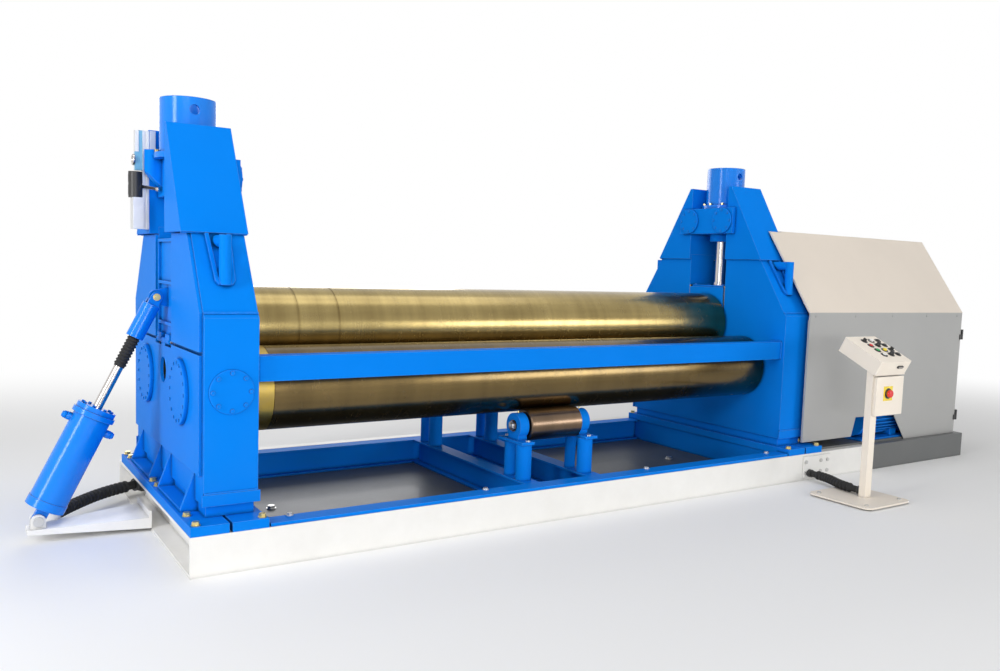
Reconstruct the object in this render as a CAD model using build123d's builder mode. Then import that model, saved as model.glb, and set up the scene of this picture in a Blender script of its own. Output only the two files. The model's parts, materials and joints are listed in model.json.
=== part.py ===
from build123d import *
import os
from math import cos, hypot, radians, sin, tan

# Plate rolling machine, millimetres, +Z up, X along the rolls, -Y is the operator side.
# The origin is on the floor, midway between the two end frames, under the top roll.

# End frames and heads
inner_gap = 3250.0
body_thick = 220.0
skin_thick = 15.0
body_half_depth = 645.0
front_plate = 18.0
shoulder_z = 1030.0
body_top_z = 1385.0
body_top_half = 421.0
slot_half = 158.0
slot_bottom_z = 665.0
liner_thick = 8.0
wall_thick = 40.0
edge_thick = 35.0
head_low_z = 1354.0
head_low_half = 455.0
head_top_z = 1827.0
head_top_half = slot_half + 23.0
head_lip_in = 15.0
head_lip_out = 28.0

# Limits of the frames, measured outward from the middle of the machine
half_gap = inner_gap / 2
body_out = half_gap + body_thick
skin_out = body_out + skin_thick
front_face = body_half_depth + front_plate
head_in = half_gap - head_lip_in
head_out = skin_out + head_lip_out

# Base
base_height = 165.0
base_half_depth = front_face + 97.0
base_left_x = -skin_out - 61.0
base_split_x = half_gap + 758.0
base_right_x = half_gap + 1903.0
rail_web = 10.0
rail_flange = 14.0
front_flange = 92.0
rear_flange = 65.0
end_web_x = -body_out + 9.0
tray_thick = 6.0
foot_thick = 40.0
foot_split = 12.0
foot_in = 18.0
foot_out = 60.0
foot_rear_y = front_face + 37.0
strip_thick = 15.0
splice_x = (half_gap + 120.0, half_gap + 370.0)
splice_z = (20.0, 150.0)
splice_thick = 12.0
beam_width = 90.0
beam_flange = 10.0
beam_web = 8.0
beam_end_y = body_half_depth + 5.0
rear_beam_y = body_half_depth - 45.0
foot_beam_in = 5.0
foot_beam_width = body_thick - 28.0
cross_beam_x = 200.0

# Rolls; the gap between the rolls sets the height of the top roll
top_roll_r = 195.0
lower_roll_r = 189.0
lower_roll_y = 340.0
lower_roll_z = 678.0
roll_gap = 39.207
top_roll_z = lower_roll_z + ((top_roll_r + lower_roll_r + roll_gap) ** 2 - lower_roll_y**2) ** 0.5
roll_end_gap = 17.0
top_journal_r = 105.0
lower_journal_r = 100.0
drive_shaft_r = 80.0
bush_wall = 25.0
shaft_fit = 0.05
slide_fit = 0.3
collar_width = 94.0
collar_core_r = 150.0
collar_groove = 2.0
hub_r = 170.0
groove_width = 4.0
groove_deep = 1.5
groove_offsets = (322.0, 526.0)

# Sliding bearing blocks, lift rods, yokes and cylinders
block_low_z = 745.0
block_top_z = 1168.0
block_in = 7.0
block_thick = body_thick - 36.0
block_cap = 12.0
rod_offset = 0.575 * body_thick
rod_r = 44.0
rod_flange_r = 50.0
rod_flange_h = 22.0
rod_top_z = 1700.0
yoke_low_z = 1521.0
yoke_top_z = 1687.0
yoke_plate = 30.0
yoke_fit = 1.0
yoke_cover_y = 146.0
yoke_cover_r = 81.0
yoke_plate_half = yoke_cover_y + yoke_cover_r + 5.0
cover_thick = 12.0
gland_r = 85.0
gland_h = 48.0
cylinder_r = 123.0
cylinder_bore_r = 75.0
cylinder_top_z = 1955.0
cup_bore_r = 105.0
cup_low_z = 1850.0
cup_hole_r = 22.0
cup_hole_z = 1900.0
foot_flange_r = 146.0
foot_flange_h = 25.0

# Round covers and bolts
bearing_cover_r = 142.0
bearing_cover_h = 18.0
front_cover_r = 92.0
front_cover_z = 714.0
front_cover_h = 6.0
small_bolt_r = 9.0
small_bolt_h = 7.0
cover_bolt_r = 7.5
cover_bolt_h = 4.0
front_bolt_r = 9.0
front_bolt_h = 6.0
cover_round = 4.0
base_bolt_r = 12.0
big_bolt_r = 15.0
big_bolt_h = 12.0
washer_r = 18.0
washer_h = 4.0

# Support roller stands
stand_y = 470.0
roller_r = 84.0
roller_gap = 1.706
roller_z = lower_roll_z - ((lower_roll_r + roller_r + roller_gap) ** 2 - (stand_y - lower_roll_y) ** 2) ** 0.5
roller_half = 165.0
roller_pin_r = 30.0
cheek_r = 66.0
cheek_neck = 46.0
cheek_thick = 55.0
cheek_gap = 7.0
thick_post_r = 41.0
thin_post_r = 30.0
post_spread = 63.0
post_top_z = roller_z - roller_r
stand_plate = 14.0
stand_half = 112.0
stand_bolt = 95.0

# Drop end
gate_half = slot_half - 11.0
gate_in = body_thick - 35.0
gate_thick = 30.0
gate_low_z = 882.0
gate_top_z = 1330.0
gate_pivot = (10.0 - skin_out, 868.0)
knuckle_r = 14.0
hinge_pin_r = 6.0
knuckle_split = 39.5
knuckle_gap = 2.0
knuckle_end = 120.0
lug_pin = (-skin_out - 32.0, 1065.0)
lug_r = 32.0
lug_half = 12.0
lug_hole_r = 20.0
fork_pin_r = 12.0
fork_washer_r = fork_pin_r + 4.0
fork_washer = 3.0
fork_head = 11.0
tilt_pivot = (-skin_out - 516.0, 95.0)
tilt_pin_r = 15.0
tilt_pin_head = 9.0
barrel_r = 80.0
barrel_bore_r = 62.0
barrel_low = 58.0
barrel_top = 500.0
barrel_band = 3.0
band_height = 38.0
port_r = 18.0
port_proud = 20.0
port_levels = (442.0, 458.0)
gland_top = 535.0
tilt_rod_r = 20.5
boot_low = 735.0
sleeve_low = 880.0
sleeve_top = 1044.0
sleeve_r = 38.0
eye_half = 15.0
ear_gap = 2.0
ear_thick = 14.0

# Outrigger
arm_tip_x = tilt_pivot[0] - 44.0
arm_tip_y = (-40.0, 45.0)
arm_root_y = (-62.0, 215.0)
arm_top_z = 64.0
arm_tip_low = 43.0
arm_root_low = 15.0
arm_end_plate = 12.0

# Corrugated hoses
tilt_hose_r = 26.0
tilt_hose_z = 76.0
tilt_hose_route = ((-2296.0, 134.0), (-2252.0, 212.0), (-2030.0, 466.0), (-1890.0, 530.0))
pedestal_hose_r = 24.0
pedestal_hose_z = 46.0
pedestal_hose_route = ((1796.0, -792.0), (1796.0, -905.0), (1704.0, -1065.0), (1704.0, -1178.0))
rib_deep = 5.0
rib_pitch = 13.0
hose_wall = 3.0
fitting_extra = 6.0
fitting_len = 20.0

# Drive housing
house_left_x = skin_out - 75.0
house_rear_left_x = head_out + 7.0
house_right_x = base_right_x - 38.0
house_half = front_face + 52.0
house_eave_z = 1037.0
house_top_z = 1545.0
house_top_half = head_top_half + 184.0
sheet = 4.0
house_gap_z = 227.0
house_return = 14.0
cutout = (
    (half_gap + 612.0, 100.0),
    (half_gap + 687.0, 352.0),
    (half_gap + 1111.0, 340.0),
    (half_gap + 1299.0, 100.0),
)
door_low_z = 178.0
door_top_z = 1030.0
door_side_gap = 9.0
hinge_r = 7.0
hinge_out = 10.0
hinge_proud = 3.0
hinge_half = 36.0
hinge_levels = (295.0, 880.0)
deck_thick = 12.0

# Drive units
gear_flange_r = 150.0
gear_body_r = 125.0
gear_body_end_x = half_gap + 625.0
gear_motor_r = 72.0
gear_motor_end_x = half_gap + 855.0
shaft_end_x = half_gap + 475.0
motor_x = (half_gap + 835.0, half_gap + 1365.0)
motor_y = 155.0 - house_half
motor_z = 312.0
motor_r = 104.0
motor_fin = 18.0
motor_plate = 10.0

# Control pedestal
post_x = (half_gap + 47.0, half_gap + 102.0)
post_y = (-1243.0, -1203.0)
plate_x = (half_gap - 150.0, half_gap + 250.0)
plate_y = (-1405.0, -1005.0)
plate_z = (8.0, 18.0)
plate_corner_r = 45.0
pad_r = 24.0
console_x = half_gap + 182.0
console_half = 142.0
console_depth = 275.0
console_thick = 90.0
console_wall = 4.0
console_centre = (-1175.0, 857.0)
console_tilt = 26.4
stop_box_x = (half_gap + 57.0, half_gap + 313.0)
stop_box_z = (487.0, 708.0)
stop_box_deep = 19.0
stop_back_y = -1195.0
stop_x = half_gap + 168.0
stop_z = 612.0
stop_plate_half = 41.0
stop_r = 22.0
stop_stem_r = 11.0
button_r = 11.0
button_deep = 14.0
button_fit = 0.1
bezel_r = 15.0
bezel_h = 4.0
control_columns = (-26.0, 104.0)
control_rows = (86.0, 36.0, -14.0, -62.0)
selector_places = (0, 5)

# Derived limits
foot_z = base_height + foot_thick
roll_half = half_gap - roll_end_gap
rod_x_mid = half_gap + rod_offset
yoke_face = head_in - yoke_plate
top_bush_r = top_journal_r + bush_wall
lower_bush_r = lower_journal_r + bush_wall
block_end = half_gap - block_in + block_thick
tray_z = (rail_flange, rail_flange + tray_thick)
foot_mid = rod_x_mid + 10
foot_a = (half_gap - foot_in, foot_mid - foot_split / 2)
foot_b = (foot_mid + foot_split / 2, skin_out + foot_out)
deck_half = house_half - 2 * sheet - 2
deck_top = base_height + deck_thick

os.makedirs("parts", exist_ok=True)


def save(part, label):
    """Label one node and write its STEP file."""
    part.label = label
    export_step(part, f"parts/{label}.step")


def span_box(x, y, z, mode=Mode.ADD):
    """Add a box given by its two limits along each axis to the open part."""
    with Locations(((x[0] + x[1]) / 2, (y[0] + y[1]) / 2, (z[0] + z[1]) / 2)):
        Box(abs(x[1] - x[0]), abs(y[1] - y[0]), abs(z[1] - z[0]), mode=mode)


def rod_x(x, y, z, radius, mode=Mode.ADD):
    """Add a cylinder along X between two X limits."""
    with Locations(((x[0] + x[1]) / 2, y, z)):
        Cylinder(radius, abs(x[1] - x[0]), rotation=(0, 90, 0), mode=mode)


def rod_y(x, y, z, radius, mode=Mode.ADD):
    """Add a cylinder along Y between two Y limits."""
    with Locations((x, (y[0] + y[1]) / 2, z)):
        Cylinder(radius, abs(y[1] - y[0]), rotation=(90, 0, 0), mode=mode)


def rod_z(x, y, z, radius, mode=Mode.ADD):
    """Add a cylinder along Z between two Z limits."""
    with Locations((x, y, (z[0] + z[1]) / 2)):
        Cylinder(radius, abs(z[1] - z[0]), mode=mode)


def prism_x(points, x, mode=Mode.ADD):
    """Extrude a (Y, Z) outline between two X limits."""
    with BuildSketch(Plane.YZ.offset(min(x))) as outline:
        with BuildLine():
            Polyline(*points, close=True)
        make_face()
    extrude(outline.sketch, amount=abs(x[1] - x[0]), mode=mode)


def prism_y(points, y, mode=Mode.ADD):
    """Extrude an (X, Z) outline between two Y limits."""
    with BuildSketch(Plane.XZ.offset(-max(y))) as outline:
        with BuildLine():
            Polyline(*points, close=True)
        make_face()
    extrude(outline.sketch, amount=abs(y[1] - y[0]), mode=mode)


def prism_z(points, z, mode=Mode.ADD):
    """Extrude an (X, Y) outline between two Z limits."""
    with BuildSketch(Plane.XY.offset(min(z))) as outline:
        with BuildLine():
            Polyline(*points, close=True)
        make_face()
    extrude(outline.sketch, amount=abs(z[1] - z[0]), mode=mode)


def rod_between(start, end, radius):
    """Add a cylinder between two points."""
    run = Vector(*end) - Vector(*start)
    with Locations(Plane(origin=start, z_dir=run).location):
        Cylinder(radius, run.length, align=(Align.CENTER, Align.CENTER, Align.MIN))


def hex_heads(plane, spots, radius, height):
    """Add a hexagon bolt head at each spot of a plane."""
    with BuildSketch(plane) as heads:
        with Locations(*spots):
            RegularPolygon(radius, 6)
    extrude(heads.sketch, amount=height)


def washers(plane, spots, radius, height):
    """Add a round washer at each spot of a plane."""
    with BuildSketch(plane) as rings:
        with Locations(*spots):
            Circle(radius)
    extrude(rings.sketch, amount=height)


def face_block(start, toward, limits):
    """List the corners of a block square to a run; limits are its two ends along the run and half its width."""
    run = (Vector(*toward) - Vector(*start)).normalized()
    low, high, half = limits
    corners = ((low, -half), (high, -half), (high, half), (low, half))
    return [(start[0] + run.X * a - run.Y * b, start[1] + run.Y * a + run.X * b) for a, b in corners]


def circle_spots(centre, radius, count):
    """List the spots of a bolt circle."""
    step = 360 / count
    return [
        (centre[0] + radius * cos(radians(step * i)), centre[1] + radius * sin(radians(step * i)))
        for i in range(count)
    ]


def face_x(x, side):
    """Plane on a face of constant X that looks along side; its spots are (side * Y, Z)."""
    return Plane(origin=(x, 0, 0), x_dir=(0, side, 0), z_dir=(side, 0, 0))


def face_y(y, side):
    """Plane on a face of constant Y that looks along side; its spots are (-side * X, Z)."""
    return Plane(origin=(0, y, 0), x_dir=(-side, 0, 0), z_dir=(0, side, 0))


def i_beam_y(x, y, z):
    """Add an I-beam that runs along Y."""
    middle = (x[0] + x[1]) / 2
    span_box(x, y, (z[0], z[0] + beam_flange))
    span_box(x, y, (z[1] - beam_flange, z[1]))
    span_box((middle - beam_web / 2, middle + beam_web / 2), y, z)


def channel_rails(x):
    """Add the front and rear channel rails of the base between two X limits."""
    for face, flange in ((-1, front_flange), (1, rear_flange)):
        web_y = face * base_half_depth
        flange_y = (web_y, web_y - face * flange)
        span_box(x, (web_y, web_y - face * rail_web), (0, base_height))
        span_box(x, flange_y, (0, rail_flange))
        span_box(x, flange_y, (base_height - rail_flange, base_height))


# White channel base with the splice plate on its front rail
splice_face = -base_half_depth - splice_thick
end_y = (-base_half_depth, base_half_depth)
with BuildPart() as base_frame:
    span_box(splice_x, (splice_face, -base_half_depth), splice_z)
    channel_rails((base_left_x, base_split_x))
    span_box((end_web_x, end_web_x + rail_web), end_y, (0, base_height))
    span_box((base_left_x, end_web_x), end_y, (0, rail_flange))
    span_box((base_left_x, end_web_x), end_y, (base_height - rail_flange, base_height))
    for tie_x in (-inner_gap / 3, 0, inner_gap / 3):
        span_box((tie_x - beam_width / 2, tie_x + beam_width / 2), end_y, (0, rail_flange))
save(base_frame.part, "base_frame")

# Dark drive section of the base
with BuildPart() as drive_base:
    channel_rails((base_split_x, base_right_x))
    span_box((base_right_x - rail_web, base_right_x), end_y, (0, base_height))
    for flange_z in ((0, rail_flange), (base_height - rail_flange, base_height)):
        span_box((base_right_x - rear_flange, base_right_x), end_y, flange_z)
    deck_x = (foot_b[1] + 10, house_right_x - 3 * sheet)
    span_box(deck_x, (-deck_half, deck_half), (base_height, deck_top))
save(drive_base.part, "drive_base")

tray_front = -base_half_depth + rail_web
with BuildPart() as tray:
    span_box((end_web_x + rail_web, -end_web_x - rail_web), (tray_front, -tray_front), tray_z)
save(tray.part, "tray")

# Blue sub-frame of I-beams on the tray
beam_z = (tray_z[1], base_height)
with BuildPart() as sub_beams:
    foot_beam_x = (half_gap - foot_beam_in, half_gap - foot_beam_in + foot_beam_width)
    rear_y = (rear_beam_y, rear_beam_y + beam_width)
    rear_beam_x = (-foot_beam_x[0], foot_beam_x[0])
    web_mid = (rear_y[0] + rear_y[1]) / 2
    span_box(rear_beam_x, rear_y, (beam_z[0], beam_z[0] + beam_flange))
    span_box(rear_beam_x, rear_y, (beam_z[1] - beam_flange, beam_z[1]))
    span_box(rear_beam_x, (web_mid - beam_web / 2, web_mid + beam_web / 2), beam_z)
    for side in (-1, 1):
        cross = side * cross_beam_x
        cross_x = (cross - beam_width / 2, cross + beam_width / 2)
        i_beam_y(cross_x, (-beam_end_y, rear_beam_y), beam_z)
        i_beam_y((side * foot_beam_x[0], side * foot_beam_x[1]), (-beam_end_y, rear_y[1]), beam_z)
        for web_x in (side * foot_beam_x[0], side * (foot_beam_x[1] - beam_web)):
            span_box((web_x, web_x + side * beam_web), (-beam_end_y, rear_y[1]), beam_z)
    strip_y = (-base_half_depth + 3, -base_half_depth + front_flange)
    strip_half = half_gap - 25
    strip_top = base_height + strip_thick
    span_box((-strip_half, strip_half), strip_y, (base_height, strip_top))
save(sub_beams.part, "sub_beams")

foot_y = (-base_half_depth, foot_rear_y)
with BuildPart() as foot_plates:
    for side in (-1, 1):
        for limits in (foot_a, foot_b):
            span_box((side * limits[0], side * limits[1]), foot_y, (base_height, foot_z))
save(foot_plates.part, "foot_plates")

# Yellow zinc bolts that hold the feet and the lift cylinders
foot_ends = (foot_y[0] + 25, foot_y[1] - washer_r)
foot_levels = {foot_a[0] + 22: foot_ends, foot_b[1] - 27: (*foot_ends, -590, -50, 50, 590)}
foot_spots = [(side * x, y) for side in (-1, 1) for x, levels in foot_levels.items() for y in levels]
cylinder_spots = [
    spot
    for side in (-1, 1)
    for spot in circle_spots((side * rod_x_mid, 0), (cylinder_r + foot_flange_r) / 2, 10)
]
with BuildPart() as zinc_bolts:
    washers(Plane.XY.offset(foot_z), foot_spots, washer_r, washer_h)
    hex_heads(Plane.XY.offset(foot_z + washer_h), foot_spots, big_bolt_r, big_bolt_h)
    hex_heads(Plane.XY.offset(yoke_top_z + foot_flange_h), cylinder_spots, small_bolt_r, big_bolt_h)
save(zinc_bolts.part, "zinc_bolts")

# End frames: a hollow welded box with hubs, slot lining, front plate, flange and gussets
body_outline = [
    (-body_half_depth, foot_z),
    (-body_half_depth, shoulder_z),
    (-body_top_half, body_top_z),
    (body_top_half, body_top_z),
    (body_half_depth, shoulder_z),
    (body_half_depth, foot_z),
]
cavity_half = body_half_depth - edge_thick
cavity_top_half = body_top_half - edge_thick * 0.66
cavity_outline = [
    (-cavity_half, foot_z + edge_thick),
    (-cavity_half, shoulder_z - edge_thick * 0.3),
    (-cavity_top_half, body_top_z - edge_thick),
    (cavity_top_half, body_top_z - edge_thick),
    (cavity_half, shoulder_z - edge_thick * 0.3),
    (cavity_half, foot_z + edge_thick),
]
step_z = (254.0, 302.0)
step_proud = 8.0
foot_inset = 12.0
skin_half = body_half_depth - 5
skin_low = (375.0, 862.0)
skin_high = (875.0, 1350.0)
gusset_y = (100.0, 520.0)
gusset_out = 58.0
gusset_thick = 16.0
gusset_floor = 12.0
skin_hole_r = 60.0
skin_hole_z = 733.0
notch_z = gate_pivot[1] - knuckle_r - 8
slant = (body_half_depth - body_top_half) / (body_top_z - shoulder_z)


def end_frame(side, hinged):
    """Build one end frame; the hinged one carries the middle knuckle of the gate."""
    with BuildPart() as frame:
        prism_x(body_outline, (side * half_gap, side * body_out))
        cavity_x = (side * (half_gap + wall_thick), side * (body_out - wall_thick))
        prism_x(cavity_outline, cavity_x, Mode.SUBTRACT)
        lining = slot_half + wall_thick
        span_box(cavity_x, (-lining, lining), (slot_bottom_z - wall_thick, body_top_z - edge_thick))
        for y in (-lower_roll_y, lower_roll_y):
            rod_x(cavity_x, y, lower_roll_z, hub_r)
        for face in (-1, 1):
            edge = face * body_half_depth
            proud = face * front_face
            ridge = [
                (edge, step_z[0]),
                (proud, step_z[0]),
                (proud, shoulder_z - front_plate),
                (edge, shoulder_z),
            ]
            prism_x(ridge, (side * half_gap, side * body_out))
            flange_x = (side * (half_gap - step_proud), side * (body_out + step_proud))
            span_box(flange_x, (proud, proud + face * step_proud), step_z)
            skin = [
                (face * skin_half, skin_high[0]),
                (face * skin_half, shoulder_z),
                (face * (body_top_half + 14), skin_high[1]),
                (face * (slot_half + 2), skin_high[1]),
                (face * (slot_half + 2), skin_high[0]),
            ]
            prism_x(skin, (side * body_out, side * skin_out))
        span_box((side * body_out, side * skin_out), (-skin_half, skin_half), skin_low)
        span_box((side * half_gap, side * body_out), (-slot_half, slot_half),
                 (slot_bottom_z, body_top_z + 1), Mode.SUBTRACT)
        for y in (-lower_roll_y, lower_roll_y):
            bore_x = (side * half_gap, side * skin_out)
            rod_x(bore_x, y, lower_roll_z, lower_bush_r + shaft_fit, Mode.SUBTRACT)
        rod_x((side * body_out, side * skin_out), 0, skin_hole_z, skin_hole_r, Mode.SUBTRACT)
        for inset in ((half_gap, half_gap + foot_inset), (body_out - foot_inset, body_out)):
            span_box((side * inset[0], side * inset[1]), (-front_face, front_face),
                     (foot_z, step_z[0]), Mode.SUBTRACT)
        gusset_x = side * (body_out - foot_inset)
        for y in (-gusset_y[1], -gusset_y[0], gusset_y[0], gusset_y[1]):
            rib = [
                (gusset_x, foot_z),
                (side * (body_out + gusset_out), foot_z),
                (side * (body_out + gusset_out), foot_z + gusset_floor),
                (side * body_out, skin_low[0] - 2),
                (gusset_x, skin_low[0] - 2),
            ]
            prism_y(rib, (y - gusset_thick / 2, y + gusset_thick / 2))
        for y in (-1, 1):
            span_box((gusset_x, side * (body_out + gusset_out)), (y * gusset_y[0], y * gusset_y[1]),
                     (foot_z, foot_z + gusset_floor))
        if hinged:
            for y in (-1, 1):
                span_box((side * body_out, side * skin_out), (y * knuckle_split, y * slot_half),
                         (notch_z, skin_low[1]), Mode.SUBTRACT)
            knuckle_y = (-knuckle_split + 1, knuckle_split - 1)
            span_box((side * body_out, side * skin_out), knuckle_y, (notch_z, gate_pivot[1]))
            rod_y(gate_pivot[0], knuckle_y, gate_pivot[1], knuckle_r)
            rod_y(gate_pivot[0], (-slot_half, slot_half), gate_pivot[1],
                  hinge_pin_r + shaft_fit, Mode.SUBTRACT)
    return frame.part


save(end_frame(-1, True), "frame_left")
save(end_frame(1, False), "frame_right")

# Lifting loops on the slanted plates, kept in one node with the heads
loop_low_z = 1162.0
loop_top_z = 1345.0
loop_pipe_r = 25.0
loop_pipe_proud = 12.0
loop_x = half_gap + body_thick / 2 + 5
loop_plate = 14.0
ring_low_z = 1138.0
ring_bar = 16.0
ring_half = (29.0, 41.0, 53.0)
loop_y = body_half_depth - slant * (loop_low_z - shoulder_z) + loop_pipe_proud
# Heads that lap over the frames, one hollow wing on each side of the slot
head_slope = (head_low_half - head_top_half) / (head_top_z - head_low_z)
head_wall = 22.0
head_floor = body_top_z + 10
wall_y = head_wall * hypot(1, head_slope)
with BuildPart() as frame_heads:
    for side in (-1, 1):
        for face in (-1, 1):
            wing = [
                (face * head_low_half, head_low_z),
                (face * head_top_half, head_top_z),
                (face * slot_half, head_top_z),
                (face * slot_half, head_low_z),
            ]
            prism_x(wing, (side * head_in, side * head_out))
            inner_y = slot_half + head_wall
            floor_y = head_low_half - head_slope * (head_floor - head_low_z) - wall_y
            peak_z = head_low_z + (head_low_half - inner_y - wall_y) / head_slope
            hollow = [
                (face * inner_y, head_floor),
                (face * floor_y, head_floor),
                (face * inner_y, peak_z),
            ]
            hollow_x = (side * (head_in + head_wall), side * (head_out - head_wall))
            prism_x(hollow, hollow_x, Mode.SUBTRACT)
        prism_x(body_outline, (side * half_gap, side * body_out), Mode.SUBTRACT)
    for side in (-1, 1):
        for face in (-1, 1):
            rod_z(side * loop_x, face * loop_y, (loop_low_z - 20, loop_top_z), loop_pipe_r)
            bar_y = (face * loop_y, face * body_top_half)
            rod_y(side * loop_x, bar_y, loop_top_z - loop_pipe_r, loop_pipe_r)
            ring_plane = Plane(
                origin=(side * loop_x, face * body_half_depth, shoulder_z),
                x_dir=(1, 0, 0),
                z_dir=(0, face, slant),
            )
            climb = -face * hypot(1, slant)
            low = climb * (ring_low_z - shoulder_z)
            bend = low + climb * ring_bar
            high = climb * (loop_top_z - shoulder_z)
            with BuildSketch(ring_plane) as ring:
                for inset in (0, ring_bar):
                    half = [width - inset for width in ring_half]
                    right = [(half[0], low + climb * inset), (half[1], bend + climb * inset / 2), (half[2], high)]
                    left = [(-x, y) for x, y in reversed(right)]
                    with BuildLine():
                        Polyline(*right, *left, close=True)
                    make_face(mode=Mode.SUBTRACT if inset else Mode.ADD)
            extrude(ring.sketch, amount=loop_plate)
        prism_x(body_outline, (side * half_gap, side * body_out), Mode.SUBTRACT)
save(frame_heads.part, "frame_heads")

# Yokes across the slots, with the glands and cylinders of the top roll lift
guard_y = 100.0
guard_r = 36.0
guard_out = 34.0
guard_z = (1562.0, 1730.0)
yoke_out = skin_out - 10
with BuildPart() as yokes:
    guard_x = -yoke_out - guard_out
    span_box((guard_x, -yoke_out), (guard_y - guard_r, guard_y + guard_r), guard_z)
    rod_z(guard_x, guard_y, guard_z, guard_r)
    chin = [
        (guard_x - guard_r, guard_z[0] + 2 * guard_r),
        (guard_x - guard_r, guard_z[0]),
        (-yoke_out, guard_z[0]),
    ]
    prism_y(chin, (guard_y - guard_r, guard_y + guard_r), Mode.SUBTRACT)
    rod_z(-rod_x_mid, 0, (yoke_top_z, guard_z[1]), foot_flange_r + 2, Mode.SUBTRACT)
    for side in (-1, 1):
        yoke_z = (yoke_low_z, yoke_top_z)
        yoke_half = slot_half - yoke_fit
        span_box((side * head_in, side * yoke_out), (-yoke_half, yoke_half), yoke_z)
        span_box((side * yoke_face, side * head_in), (-yoke_plate_half, yoke_plate_half), yoke_z)
        rod_z(side * rod_x_mid, 0, yoke_z, rod_r + 6, Mode.SUBTRACT)
        gland_z = (yoke_low_z - gland_h, yoke_low_z)
        rod_z(side * rod_x_mid, 0, gland_z, gland_r)
        rod_z(side * rod_x_mid, 0, gland_z, rod_r + shaft_fit, Mode.SUBTRACT)
save(yokes.part, "yokes")

with BuildPart() as lift_cylinders:
    for side in (-1, 1):
        x = side * rod_x_mid
        rod_z(x, 0, (yoke_top_z, cylinder_top_z), cylinder_r)
        rod_z(x, 0, (yoke_top_z, yoke_top_z + foot_flange_h), foot_flange_r)
        rod_z(x, 0, (yoke_top_z, cup_low_z - edge_thick / 2), cylinder_bore_r, Mode.SUBTRACT)
        rod_z(x, 0, (cup_low_z, cylinder_top_z), cup_bore_r, Mode.SUBTRACT)
        rod_y(x, (-cylinder_r, cylinder_r), cup_hole_z, cup_hole_r, Mode.SUBTRACT)
save(lift_cylinders.part, "lift_cylinders")

# Round covers with their painted bolts
yoke_mid_z = (yoke_low_z + yoke_top_z) / 2
cover_out = skin_out + bearing_cover_h
cover_x = half_gap + body_thick / 2
with BuildPart() as round_covers:
    yoke_cover_x = yoke_face - cover_thick
    cover_y = (-front_face - front_cover_h, -front_face)
    for side in (-1, 1):
        for y in (-yoke_cover_y, yoke_cover_y):
            rod_x((side * yoke_face, side * yoke_cover_x), y, yoke_mid_z, yoke_cover_r)
        for y in (-lower_roll_y, lower_roll_y):
            rod_x((side * skin_out, side * cover_out), y, lower_roll_z, bearing_cover_r)
    rod_y(-cover_x, cover_y, front_cover_z, front_cover_r)
    rims = [
        edge
        for edge in round_covers.edges().filter_by(GeomType.CIRCLE)
        if min(abs(abs(edge.center().X) - cover_out), abs(abs(edge.center().X) - yoke_cover_x)) < 0.01
        or abs(edge.center().Y - cover_y[0]) < 0.01
    ]
    fillet(rims, cover_round)
    for y in (-lower_roll_y, lower_roll_y):
        rod_x((skin_out, cover_out), y, lower_roll_z, drive_shaft_r + 2, Mode.SUBTRACT)
        bearing_ring = circle_spots((-y, lower_roll_z), bearing_cover_r - 17, 16)
        hex_heads(face_x(-cover_out, -1), bearing_ring, cover_bolt_r, cover_bolt_h)
    for side in (-1, 1):
        for y in (-yoke_cover_y, yoke_cover_y):
            yoke_ring = circle_spots((-side * y, yoke_mid_z), yoke_cover_r - 14, 8)
            hex_heads(face_x(side * yoke_cover_x, -side), yoke_ring, cover_bolt_r, cover_bolt_h)
    front_ring = circle_spots((-cover_x, front_cover_z), front_cover_r - 15, 8)
    hex_heads(face_y(cover_y[0], -1), front_ring, front_bolt_r, front_bolt_h)
save(round_covers.part, "round_covers")

# Steel bolts of the strip, the tray, the splice plate, the stands and the pedestal plate
strip_spots = [(share * half_gap, strip_y[1] - 12) for share in (-0.92, -0.32, 0.32, 0.92)]
tray_spots = [(share * half_gap, -5) for share in (-0.83, 0.83)]
tray_bolt_r = 19.0
splice_spots = [
    (x, z)
    for x in (splice_x[0] + 14, splice_x[1] - 95, splice_x[1] - 30)
    for z in (splice_z[0] + 30, splice_z[1] - 32)
]
cheek_x = (roller_half + cheek_gap, roller_half + cheek_gap + cheek_thick)
plate_top = post_top_z + stand_plate
stand_spots = [
    (side * (cheek_x[0] + cheek_thick / 2), y + offset)
    for side in (-1, 1)
    for y in (-stand_y, stand_y)
    for offset in (-stand_bolt, stand_bolt)
]
plate_spots = [
    (x, y) for x in (plate_x[0] + 48, plate_x[1] - 48) for y in (plate_y[0] + 48, plate_y[1] - 48)
]
with BuildPart() as steel_bolts:
    washers(Plane.XY.offset(strip_top), strip_spots, washer_r - 2, washer_h)
    hex_heads(Plane.XY.offset(strip_top + washer_h), strip_spots, base_bolt_r, small_bolt_h)
    washers(Plane.XY.offset(tray_z[1]), tray_spots, tray_bolt_r + 5, washer_h)
    hex_heads(Plane.XY.offset(tray_z[1] + washer_h), tray_spots, tray_bolt_r, big_bolt_h)
    hex_heads(face_y(splice_face, -1), splice_spots, base_bolt_r, small_bolt_h)
    hex_heads(Plane.XY.offset(plate_top), stand_spots, base_bolt_r, small_bolt_h)
    hex_heads(Plane.XY.offset(plate_z[1]), plate_spots, base_bolt_r, small_bolt_h)
save(steel_bolts.part, "steel_bolts")

tie_y = (5 - body_half_depth, 85 - body_half_depth)
tie_z = (747.0, 853.0)
tie_wall = 10.0
with BuildPart() as tie_beam:
    span_box((-half_gap, half_gap), tie_y, tie_z)
    span_box((tie_wall - half_gap, half_gap - tie_wall), (tie_y[0] + tie_wall, tie_y[1] - tie_wall),
             (tie_z[0] + tie_wall, tie_z[1] - tie_wall), Mode.SUBTRACT)
save(tie_beam.part, "tie_beam")

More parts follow.
